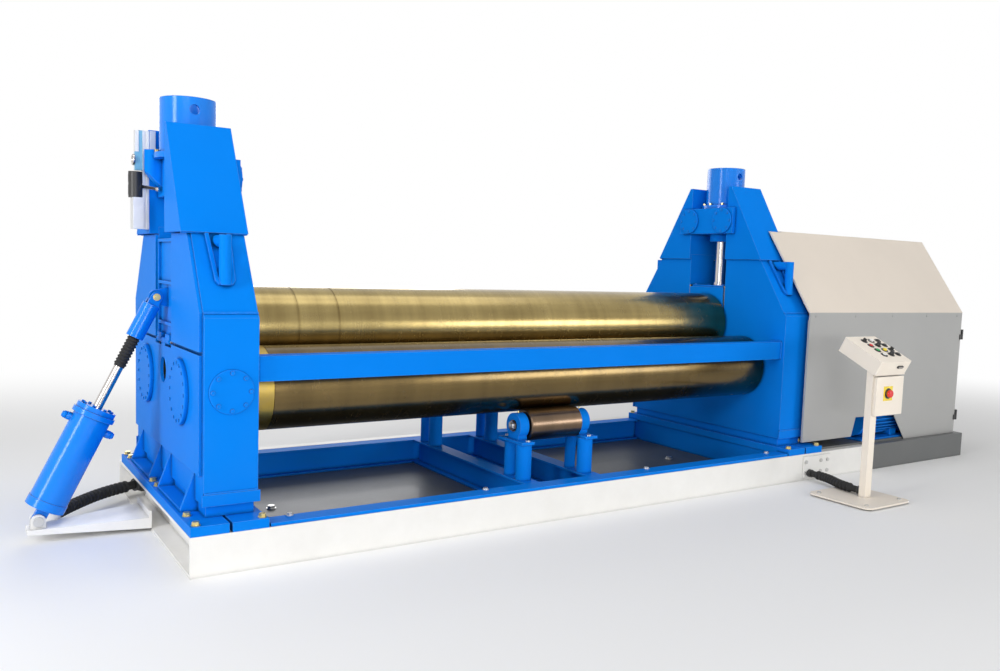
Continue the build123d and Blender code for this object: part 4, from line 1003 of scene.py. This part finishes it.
@dataclass
class TiltCylinder:
    """Boot, gland bolts and port caps of the cylinder that drops the end gate."""

    pivot: Point = (-2.376, 0.0, 0.095)
    lug: Point = (-1.892, 0.0, 1.065)
    boot: tuple[float, float] = (0.735, 0.880)
    boot_core: float = 0.0232
    boot_fold: float = 0.0275
    boot_sides: int = 36
    folds: int = 9
    slope_share: float = 0.32
    crest_share: float = 0.18
    gland_top: float = 0.535
    bolt: Stepped = Stepped(0.0075, 0.007, 14, ((0.0030, -0.004),), 0.0007)
    bolt_circle: float = 0.064
    bolts: int = 8
    cap: Stepped = Stepped(0.0165, 0.012, 6, ((0.003, 0.006),), 0.0012)
    port_levels: tuple[float, float] = (0.442, 0.458)
    port_out: float = 0.100

    def axis(self) -> Vector:
        """Direction from the base pivot to the lug."""
        return (Vector(self.lug) - Vector(self.pivot)).normalized()

    def point(self, along: float, out: float = 0.0) -> Vector:
        """A point of the cylinder's upright middle plane."""
        axis = self.axis()
        return Vector(self.pivot) + axis * along + Vector((-axis.z, 0.0, axis.x)) * out

    def bellows(self) -> bpy.types.Object:
        """Extrude the ribbed rubber boot on the rod, fold by fold.

        Returns:
            The boot.
        """
        pitch = (self.boot[1] - self.boot[0]) / (self.folds + 0.5)
        height = pitch * 0.5
        piece = Workpiece("tilt_rod_boot").cylinder(self.boot_core, height, self.boot_sides).top()
        radius = self.boot_core
        for step in range(4 * self.folds):
            wide = self.boot_fold if step % 4 < 2 else self.boot_core
            rise = pitch * (self.slope_share if step % 2 == 0 else self.crest_share)
            height += rise
            piece.extrude(rise).scale(wide / radius, wide / radius, height)
            radius = wide
        piece.laid(self.point(self.boot[0]), self.axis())
        made = piece.done(Slot.black_rubber, Body.TILT_ROD)
        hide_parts("rod_boot")
        return made

    def gland_bolts(self) -> bpy.types.Object:
        """Set a circle of socket-head bolts on the gland.

        Returns:
            The joined bolts.
        """
        turns = [2 * math.pi * (i + 0.5) / self.bolts for i in range(self.bolts)]
        ring = [
            (self.bolt_circle * math.cos(t), self.bolt_circle * math.sin(t), 0.0) for t in turns
        ]
        piece = self.bolt.model("tilt_gland_bolts").repeated(ring)
        piece.laid(self.point(self.gland_top), self.axis())
        return piece.done(Slot.blue_paint, Body.TILT_BARREL)

    def port_caps(self) -> None:
        """Put hexagon caps on the two oil ports."""
        for index, side in enumerate((-1.0, 1.0)):
            level = self.port_levels[index]
            out = self.point(level, side * self.port_out)
            piece = self.cap.model(f"tilt_port_cap_{index + 1}")
            piece.laid(out, out - self.point(level)).done(Slot.blue_paint, Body.TILT_BARREL)

    def build(self) -> None:
        """Make all pieces of the cylinder."""
        self.bellows()
        self.gland_bolts()
        self.port_caps()


@dataclass
class Welds:
    """Weld beads of the frames, the heads and the tie beam."""

    inner: float = 1.625
    outer: float = 1.845
    head: tuple[float, float] = (1.612, 1.886)
    shoulder_seam: tuple[float, float] = (0.6465, 1.0310)
    foot_seam: tuple[float, float] = (0.6635, 0.3030)
    head_seam: tuple[float, float] = (0.4430, 1.3535)
    tie_gap: float = 0.002
    tie_seams: tuple[tuple[float, ...], ...] = (
        (-0.638, 0.854, -0.562, 0.854), (-0.641, 0.749, -0.641, 0.851),
    )
    radius: float = 0.0048
    sides: int = 8
    ripple: float = 0.011
    swell: float = 1.35

    def bead(self, start: Point, end: Point, name: str) -> Workpiece:
        """Model one rippled bead.

        Args:
            start: One end.
            end: The other end.
            name: Name of the bead.

        Returns:
            The bead in its place.
        """
        run = Vector(end) - Vector(start)
        cuts = max(3, int(run.length / self.ripple))
        step = run.length / (cuts + 1)
        piece = Workpiece(name).cylinder(self.radius, run.length, self.sides)
        piece.pick(lambda middle, along: abs(along.z) > 0.5 * run.length, Element.EDGE)
        piece.subdivide(cuts)
        piece.pick(lambda place, normal: round(place.z / step) % 2 == 1, Element.VERT)
        return piece.scale(self.swell, self.swell).laid(start, run)

    def runs(self) -> Iterator[tuple[Point, Point]]:
        """Go through the ends of all beads.

        Returns:
            The two ends of each bead in turn.
        """
        body = (self.inner, self.outer)
        seams = (
            (body, self.shoulder_seam), (body, self.foot_seam), (self.head, self.head_seam),
        )
        for side in (-1.0, 1.0):
            for face in (-1.0, 1.0):
                for (near, far), (deep, high) in seams:
                    yield (side * near, face * deep, high), (side * far, face * deep, high)
            end = side * (self.inner - self.tie_gap)
            for y_start, z_start, y_end, z_end in self.tie_seams:
                yield (end, y_start, z_start), (end, y_end, z_end)

    def build(self) -> bpy.types.Object:
        """Make all beads and join them.

        Returns:
            The joined beads.
        """
        beads = [
            self.bead(start, end, f"weld_bead_{i}") for i, (start, end) in enumerate(self.runs())
        ]
        first = beads[0]
        first.joined([bead.item for bead in beads[1:]])
        first.item.name = first.item.data.name = "frame_weld_beads"
        return first.done(Slot.blue_paint)


@dataclass
class ControlPedestal:
    """Knobs, lamps, legend rings, lock bar and rubber feet of the pedestal."""

    middle: Point = (1.807, -1.175, 0.857)
    tilt: float = math.radians(26.4)
    columns: tuple[float, ...] = (-0.026, 0.104)
    centre_column: float = 0.040
    rows: tuple[float, ...] = (0.086, 0.036, -0.014, -0.062)
    half_depth: float = 0.1375
    ring: Stepped = Stepped(0.0205, 0.0022, 28, ((0.004, -0.0006),), 0.0004)
    knob: Stepped = Stepped(0.0135, 0.008, 24, ((0.003, 0.004),), 0.0008)
    knob_rows: tuple[int, int] = (1, 3)
    knob_lift: float = 0.002
    grip: Point = (0.0042, 0.0125, 0.021)
    grip_taper: tuple[float, float] = (0.6, 0.85)
    grip_round: float = 0.001
    lamp_radius: float = 0.0115
    lamp_rim: float = 0.006
    lamp_sides: int = 24
    lamp_dome: tuple[tuple[float, float], ...] = ((0.0025, 0.92), (0.0020, 0.80), (0.0012, 0.55))
    lamp_rows: tuple[tuple[int, Slot], ...] = ((0, Slot.white_plastic), (2, Slot.yellow_plastic))
    lamp_lift: float = 0.0015
    lock: tuple[float, float] = (0.052, -0.036)
    lock_low: Point = (-0.019, -0.0032, 0.006)
    lock_high: Point = (0.019, 0.0032, 0.011)
    lock_taper: tuple[float, float] = (0.9, 0.6)
    lock_round: float = 0.0008
    stop: Point = (1.793, -1.264, 0.612)
    stop_plate: Stepped = Stepped(0.031, 0.0012, 40, ((0.008, -0.0006),), 0.0003)
    foot: Stepped = Stepped(0.032, 0.003, 24, ((0.004, 0.0048),), 0.0006)
    feet: tuple[Point, ...] = (
        (1.523, -1.357, 0.0), (1.827, -1.357, 0.0), (1.523, -1.053, 0.0), (1.827, -1.053, 0.0),
    )

    def normal(self) -> Vector:
        """Direction out of the console face."""
        return Vector((0.0, -math.sin(self.tilt), math.cos(self.tilt)))

    def climb(self) -> Vector:
        """Direction up the console face."""
        return Vector((0.0, math.cos(self.tilt), math.sin(self.tilt)))

    def spot(self, across: float, up: float, out: float = 0.0) -> Vector:
        """A point on or over the console face."""
        foot = Vector(self.middle) + Vector((across, 0.0, 0.0))
        return foot + self.climb() * up + self.normal() * out

    def legend_rings(self) -> bpy.types.Object:
        """Lay a black ring under every control.

        Returns:
            The joined rings.
        """
        across = (*self.columns, self.centre_column)
        places = [tuple(self.spot(x, y)) for y in self.rows for x in across]
        piece = self.ring.model("console_legend_rings").laid(ORIGIN, self.normal())
        return piece.repeated(places).done(Slot.black_plastic)

    def knobs(self) -> bpy.types.Object:
        """Model two fixed selector heads in the middle column, each with a raised grip.

        Returns:
            The joined knobs.
        """
        half, deep, high = self.grip
        piece = self.knob.model("console_knobs")
        grip = Workpiece("console_knob_grip").block(
            (-half, -deep, self.knob.depth), (half, deep, high)
        )
        grip.top().scale(*self.grip_taper, high).rounded(self.grip_round)
        piece.joined([grip.item]).laid(ORIGIN, self.normal())
        rows = [self.rows[i] for i in self.knob_rows]
        places = [tuple(self.spot(self.centre_column, up, self.knob_lift)) for up in rows]
        return piece.repeated(places).done(Slot.black_plastic)

    def lamps(self) -> None:
        """Model two domed signal lamps in the middle column."""
        for index, (row, slot) in enumerate(self.lamp_rows):
            height = self.lamp_rim
            piece = Workpiece(f"console_lamp_{index + 1}")
            piece.cylinder(self.lamp_radius, height, self.lamp_sides).top()
            for rise, narrow in self.lamp_dome:
                height += rise
                piece.extrude(rise).scale(narrow, narrow, height)
            place = self.spot(self.centre_column, self.rows[row], self.lamp_lift)
            piece.laid(place, self.normal()).done(slot)

    def lock_bar(self) -> bpy.types.Object:
        """Model the bright bar across the dark lock on the front edge.

        Returns:
            The bar.
        """
        piece = Workpiece("console_lock_bar").block(self.lock_low, self.lock_high)
        piece.top().scale(*self.lock_taper, self.lock_high[2]).rounded(self.lock_round)
        across, out = self.lock
        place = self.spot(across, -self.half_depth, out)
        return piece.laid(place, -self.climb()).done(Slot.chrome)

    def stop_ring(self) -> bpy.types.Object:
        """Black ring around the emergency stop."""
        piece = self.stop_plate.model("stop_legend_ring")
        return piece.laid(self.stop, (0.0, -1.0, 0.0)).done(Slot.black_plastic)

    def rubber_feet(self) -> bpy.types.Object:
        """Flanged rubber feet under the base plate."""
        piece = self.foot.model("pedestal_rubber_feet")
        return piece.repeated(self.feet).done(Slot.black_rubber)

    def build(self) -> None:
        """Make all pieces of the pedestal."""
        self.legend_rings()
        self.knobs()
        self.lamps()
        self.lock_bar()
        self.stop_ring()
        self.rubber_feet()


@dataclass
class PositionSensor:
    """Eye, grip rings and cable pipe of the sensor on the left head."""

    eye: Point = (-1.948, 0.178, 1.688)
    eye_shape: Stepped = Stepped(0.026, 0.010, 32, ((0.009, -0.006),), 0.0015, 3)
    plug: Point = (-1.947, 0.165, 1.515)
    grip_radius: float = 0.0306
    grip_sides: int = 36
    grip_tooth: float = 0.0012
    grips: tuple[tuple[str, float, float], ...] = (
        ("sensor_plug_grip_low", 0.012, 0.044), ("sensor_plug_grip_high", 0.070, 0.036),
    )
    pipe: tuple[Point, Point] = ((-1.920, 0.148, 1.566), (-1.862, 0.060, 1.552))
    pipe_radius: float = 0.0075
    pipe_sides: int = 18
    pipe_flare: float = 1.45
    pipe_shares: Point = (0.8, 0.05, 0.15)
    pipe_round: float = 0.001

    def eye_ring(self) -> bpy.types.Object:
        """Bright ring on the end of the bracket."""
        piece = self.eye_shape.model("sensor_eye")
        return piece.laid(self.eye, (-1.0, 0.0, 0.0)).done(Slot.chrome)

    def grip(self, name: str, low: float, depth: float) -> bpy.types.Object:
        """Model one knurled ring of the plug: every second side face stands out.

        Args:
            name: Name of the ring.
            low: Height of its lower edge over the plug's foot.
            depth: Its height.

        Returns:
            The ring.
        """

        def tooth(centre: Vector, normal: Vector) -> bool:
            """Whether a face is one of the side faces that stand out."""
            turn = math.atan2(centre.y, centre.x) * self.grip_sides / (2 * math.pi)
            return abs(normal.z) < 0.1 and round(turn - 0.5) % 2 == 0

        ring = Workpiece(name).cylinder(self.grip_radius, depth, self.grip_sides).pick(tooth)
        bpy.ops.mesh.extrude_faces_move(TRANSFORM_OT_shrink_fatten={"value": -self.grip_tooth})
        place = (self.plug[0], self.plug[1], self.plug[2] + low)
        return ring.laid(place).done(Slot.black_plastic)

    def cable_pipe(self) -> bpy.types.Object:
        """Model the short bright pipe from the plug to the yoke, with a flared end.

        Returns:
            The pipe.
        """
        start, end = (Vector(point) for point in self.pipe)
        length = (end - start).length
        piece = Workpiece("sensor_pipe")
        shank, cone, mouth = (length * share for share in self.pipe_shares)
        piece.cylinder(self.pipe_radius, shank, self.pipe_sides).top()
        piece.extrude(cone).scale(self.pipe_flare, self.pipe_flare, shank + cone)
        piece.extrude(mouth).rounded(self.pipe_round)
        return piece.laid(start, end - start).done(Slot.chrome)

    def build(self) -> None:
        """Make all pieces of the sensor."""
        self.eye_ring()
        for name, low, depth in self.grips:
            self.grip(name, low, depth)
        self.cable_pipe()


@dataclass
class RollerStands:
    """Axle nuts and grease nipples of the support roller stands."""

    along: float = 0.470
    axle_height: float = 0.436
    axle_end: float = 0.233
    nut: Stepped = Stepped(0.026, 0.009, 6, ((0.006, 0.004),), 0.0012)
    cheek_middle: float = 0.1995
    nipple_foot: float = 0.5015
    nipple_radius: float = 0.0055
    nipple_hex: float = 0.005
    nipple_step: float = 0.0015
    nipple_neck: tuple[float, float] = (0.005, 0.7)
    nipple_head: tuple[float, float] = (0.002, 1.3)
    nipple_round: float = 0.0004

    def nuts(self, side: float, rides: Body) -> bpy.types.Object:
        """Put hexagon nuts on both ends of one axle.

        Args:
            side: Minus one for the front axle, one for the rear.
            rides: The body that turns with the axle.

        Returns:
            The joined nuts.
        """
        ends = []
        for sign, suffix in ((1.0, "_nuts"), (-1.0, "_far_nut")):
            place = (sign * self.axle_end, side * self.along, self.axle_height)
            ends.append(self.nut.model(rides.value + suffix).laid(place, (sign, 0.0, 0.0)))
        near, far = ends
        return near.joined([far.item]).done(Slot.bolt_steel, rides)

    def nipples(self) -> bpy.types.Object:
        """Put grease nipples on the cheeks.

        Returns:
            The joined nipples.
        """
        height = self.nipple_hex
        piece = Workpiece("stand_grease_nipples").cylinder(self.nipple_radius, height, 6).top()
        piece.inset(self.nipple_step)
        for rise, wide in (self.nipple_neck, self.nipple_head):
            height += rise
            piece.extrude(rise).scale(wide, wide, height)
        piece.rounded(self.nipple_round)
        places = [
            (a * self.cheek_middle, b * self.along, self.nipple_foot)
            for a in (-1, 1) for b in (-1, 1)
        ]
        return piece.repeated(places).done(Slot.yellow_zinc)

    def build(self) -> None:
        """Make all pieces of the stands."""
        self.nuts(-1.0, Body.SUPPORT_FRONT)
        self.nuts(1.0, Body.SUPPORT_REAR)
        self.nipples()


@dataclass
class DriveHousing:
    """Screws of the sheet housing and louvres of its rear panel."""

    face: float = 0.715
    lap_height: float = 1.014
    screw_places: tuple[float, ...] = (1.84, 2.24, 2.64, 3.04, 3.42)
    screw_radius: float = 0.0065
    screw_rise: float = 0.0015
    screw_sides: int = 16
    screw_taper: float = 0.75
    screw_recess: tuple[float, float] = (0.0022, -0.0012)
    louvre_low_corner: Point = (-0.17, 0.0, 0.0)
    louvre_high_corner: Point = (0.17, 0.014, 0.024)
    louvre_taper: tuple[float, float] = (0.97, 0.15)
    louvre_round: float = 0.002
    louvre_columns: tuple[float, ...] = (2.45, 2.95)
    louvre_rows: int = 7
    louvre_low: float = 0.46
    louvre_step: float = 0.045

    def screws(self) -> bpy.types.Object:
        """Set pan-head screws along the lap of roof and front panel.

        Returns:
            The joined screws.
        """
        rise, taper = self.screw_rise, self.screw_taper
        width, sink = self.screw_recess
        piece = Workpiece("housing_screws")
        piece.cylinder(self.screw_radius, rise, self.screw_sides).top()
        piece.extrude(rise).scale(taper, taper, 2 * rise).inset(width).extrude(sink)
        piece.laid(ORIGIN, (0.0, -1.0, 0.0))
        places = [(x, -self.face, self.lap_height) for x in self.screw_places]
        return piece.repeated(places).done(Slot.grey_paint)

    def louvres(self) -> bpy.types.Object:
        """Press louvres in the rear panel.

        Returns:
            The joined louvres.
        """
        piece = Workpiece("housing_louvres").block(
            self.louvre_low_corner, self.louvre_high_corner
        )
        piece.top().scale(*self.louvre_taper, self.louvre_high_corner[2])
        piece.rounded(self.louvre_round, 3)
        rows = [self.louvre_low + i * self.louvre_step for i in range(self.louvre_rows)]
        places = [(x, self.face, z) for x in self.louvre_columns for z in rows]
        return piece.repeated(places).done(Slot.grey_paint)

    def build(self) -> None:
        """Make all pieces of the housing."""
        self.screws()
        self.louvres()


@dataclass
class LiftCylinders:
    """Oil port plugs at the back of the two lift cylinders."""

    along: float = 1.7515
    seat: float = 0.117
    levels: tuple[float, float] = (1.745, 1.815)
    plug: Stepped = Stepped(0.023, 0.016, 24, ((0.004, 0.007), (0.006, -0.004)), 0.0012)

    def build(self) -> bpy.types.Object:
        """Make the four plugs.

        Returns:
            The joined plugs.
        """
        piece = self.plug.model("lift_port_plugs").laid(ORIGIN, (0.0, 1.0, 0.0))
        places = [
            (side * self.along, self.seat, level) for side in (-1, 1) for level in self.levels
        ]
        return piece.repeated(places).done(Slot.blue_paint)


@dataclass(frozen=True)
class SoftBox:
    """One rectangular lamp of the studio."""

    name: str
    place: Point
    aim: Point
    size: tuple[float, float]
    power: float

    def hang(self) -> None:
        """Put the lamp in its place and turn it to its aim."""
        data = bpy.data.lights.new(self.name, "AREA")
        data.shape = "RECTANGLE"
        data.size, data.size_y = self.size
        data.energy = self.power
        holder = bpy.data.objects.new(self.name, data)
        holder.location = self.place
        run = Vector(self.aim) - Vector(self.place)
        holder.rotation_euler = run.to_track_quat("-Z", "Y").to_euler()
        bpy.context.scene.collection.objects.link(holder)


@dataclass
class Studio:
    """Pale floor, soft light and the camera of the photograph."""

    eye: Point = (-2.736, -4.156, 1.248)
    ahead: Point = (0.5449, 0.8340, -0.0864)
    roll: float = 1.924
    focal_pixels: float = 870.1
    frame_width: float = 1000.0
    centre_drop: float = 7.9
    sensor: float = 36.0
    clip: tuple[float, float] = (0.05, 200.0)
    floor_size: float = 80.0
    floor_tones: tuple[Colour, Colour] = ((0.90, 0.90, 0.90), (0.92, 0.92, 0.92))
    floor_gloss: float = 0.9
    fade: tuple[float, float] = (2.6, 6.5)
    fade_squeeze: float = 0.45
    room_level: float = 0.32
    lamps: tuple[SoftBox, ...] = (
        SoftBox("key_box", (-4.2, -6.2, 4.4), (0.2, 0.0, 0.6), (3.0, 2.5), 102.0),
        SoftBox("roll_strip", (5.4, -7.4, 1.7), (0.3, 0.0, 0.7), (3.4, 1.9), 150.0),
        SoftBox("low_box", (-1.6, -7.0, 1.35), (0.0, 0.4, 0.3), (4.0, 0.9), 98.0),
        SoftBox("top_box", (0.5, -0.5, 6.0), (0.5, 0.0, 0.5), (6.0, 3.0), 80.0),
        SoftBox("rear_box", (1.0, 7.4, 3.4), (0.4, 0.0, 0.6), (6.0, 3.0), 190.0),
        SoftBox("left_box", (-5.6, -1.6, 2.1), (-1.8, 0.0, 0.7), (0.9, 3.2), 110.0),
    )

    def camera(self) -> None:
        """Set the camera at the photograph's angle."""
        data = bpy.data.cameras.new("photo_camera")
        data.sensor_width = self.sensor
        data.lens = self.focal_pixels * self.sensor / self.frame_width
        data.shift_y = self.centre_drop / self.frame_width
        data.clip_start, data.clip_end = self.clip
        ahead = Vector(self.ahead).normalized()
        right = ahead.cross(Vector(UP)).normalized()
        up = right.cross(ahead)
        turn = math.radians(self.roll)
        level = math.cos(turn) * right + math.sin(turn) * up
        raised = math.cos(turn) * up - math.sin(turn) * right
        holder = bpy.data.objects.new("photo_camera", data)
        axes = Matrix((level, raised, -ahead)).transposed().to_4x4()
        holder.matrix_world = Matrix.Translation(self.eye) @ axes
        bpy.context.scene.collection.objects.link(holder)
        bpy.context.scene.camera = holder

    def floor(self) -> None:
        """Lay a wide pale floor that fades to plain white far from the object."""
        bpy.ops.object.select_all(action="DESELECT")
        bpy.ops.mesh.primitive_plane_add(size=self.floor_size, location=ORIGIN)
        ground = bpy.context.active_object
        ground.name = "studio_floor"
        bench = Bench("studio_floor")
        across, deep, _ = bench.axes()
        away = (across * across * self.fade_squeeze + deep * deep).math("SQRT").ramp(*self.fade)
        glow = bench.node("ShaderNodeEmission", None, {"Color": WHITE, "Strength": 1.0})
        both = bench.node(
            "ShaderNodeMixShader",
            None,
            {0: away * bench.seen(), 1: bench.shader.outputs[0], 2: glow.outputs[0]},
        )
        bench.feed(bench.surface, both.outputs[0])
        tone = bench.mix(bench.noise(0.4, detail=2.0), *self.floor_tones)
        ground.data.materials.append(bench.finish(Base_Color=tone, Roughness=self.floor_gloss))

    def world(self) -> None:
        """Light the room evenly, with white behind the object."""
        world = bpy.data.worlds.new("studio")
        world.use_nodes = True
        wiring = Wiring(world.node_tree)
        level = wiring.seen() * (1.0 - self.room_level) + self.room_level
        shade = wiring.node("ShaderNodeBackground", None, {"Color": WHITE, "Strength": level})
        wiring.node("ShaderNodeOutputWorld", None, {"Surface": shade.outputs[0]})
        bpy.context.scene.world = world

    def build(self) -> None:
        """Set up the whole studio."""
        self.camera()
        self.floor()
        self.world()
        for lamp in self.lamps:
            lamp.hang()
        bpy.context.scene.view_settings.view_transform = "Standard"
        LOG.info("studio ready")


def hoses() -> tuple[RibbedHose, ...]:
    """The two corrugated hoses, on the routes of the part's source.

    Returns:
        The hoses, not yet built.
    """
    tilt = (
        (-2.296, 0.134, 0.076), (-2.252, 0.212, 0.076),
        (-2.030, 0.466, 0.076), (-1.890, 0.530, 0.076),
    )
    pedestal = (
        (1.796, -0.792, 0.046), (1.796, -0.905, 0.046),
        (1.704, -1.065, 0.046), (1.704, -1.178, 0.046),
    )
    return (
        RibbedHose("tilt_cylinder_hose", "tilt_hose", tilt, 0.0295),
        RibbedHose("pedestal_cable_hose", "pedestal_hose", pedestal, 0.0275),
    )


def special_finishes() -> dict[str, Finish]:
    """Finishes of the nodes that differ from their slot's.

    Returns:
        Node names with their finishes.
    """
    # Top roll: toned brighter than the lower rolls as a painted highlight, with painted shade at
    # its two grooves.
    top_roll_painted_bright = GroundRoll(
        "top_roll_steel_painted_bright", (0.48, 0.375, 0.155), (0.155, 0.107, 0.035), lines=(-1.286, -1.082)
    )
    lower = GroundRoll("lower_roll_steel", (0.24, 0.165, 0.062), (0.065, 0.044, 0.017))
    # Support rollers: darker roll steel, with weak painted reflection bands along X.
    wear_and_painted_sheen = GroundRoll(
        "support_roller_steel", (0.27, 0.18, 0.115), (0.06, 0.04, 0.025), gloss=0.22, streaks=0.2
    )
    bright = replace(
        Slot.blue_paint.value, name="enamel_blue_bright", gloss=0.12, coat=0.0, mirror=0.3
    )
    ivory = replace(Slot.cream_paint.value, name="powder_ivory", colour=(0.91, 0.83, 0.72))
    groups = (
        (top_roll_painted_bright, ("top_roll",)),
        (lower, ("lower_roll_front", "lower_roll_rear")),
        (wear_and_painted_sheen, ("support_roller_front", "support_roller_rear")),
        (bright, ("tilt_barrel", "rod_end", "lift_cylinders")),
        (ivory, ("pedestal", "console", "stop_box")),
    )
    return {node: finish for finish, nodes in groups for node in nodes}


def main() -> None:
    """Build the looks in order."""
    logging.basicConfig(level=logging.INFO, format="%(name)s: %(message)s")
    Studio().build()
    for assembly in (
        *hoses(),
        TiltCylinder(),
        Welds(),
        ControlPedestal(),
        PositionSensor(),
        RollerStands(),
        DriveHousing(),
        LiftCylinders(),
    ):
        assembly.build()
    NodeFinishes(special_finishes()).apply()


if __name__ == "__main__":
    main()
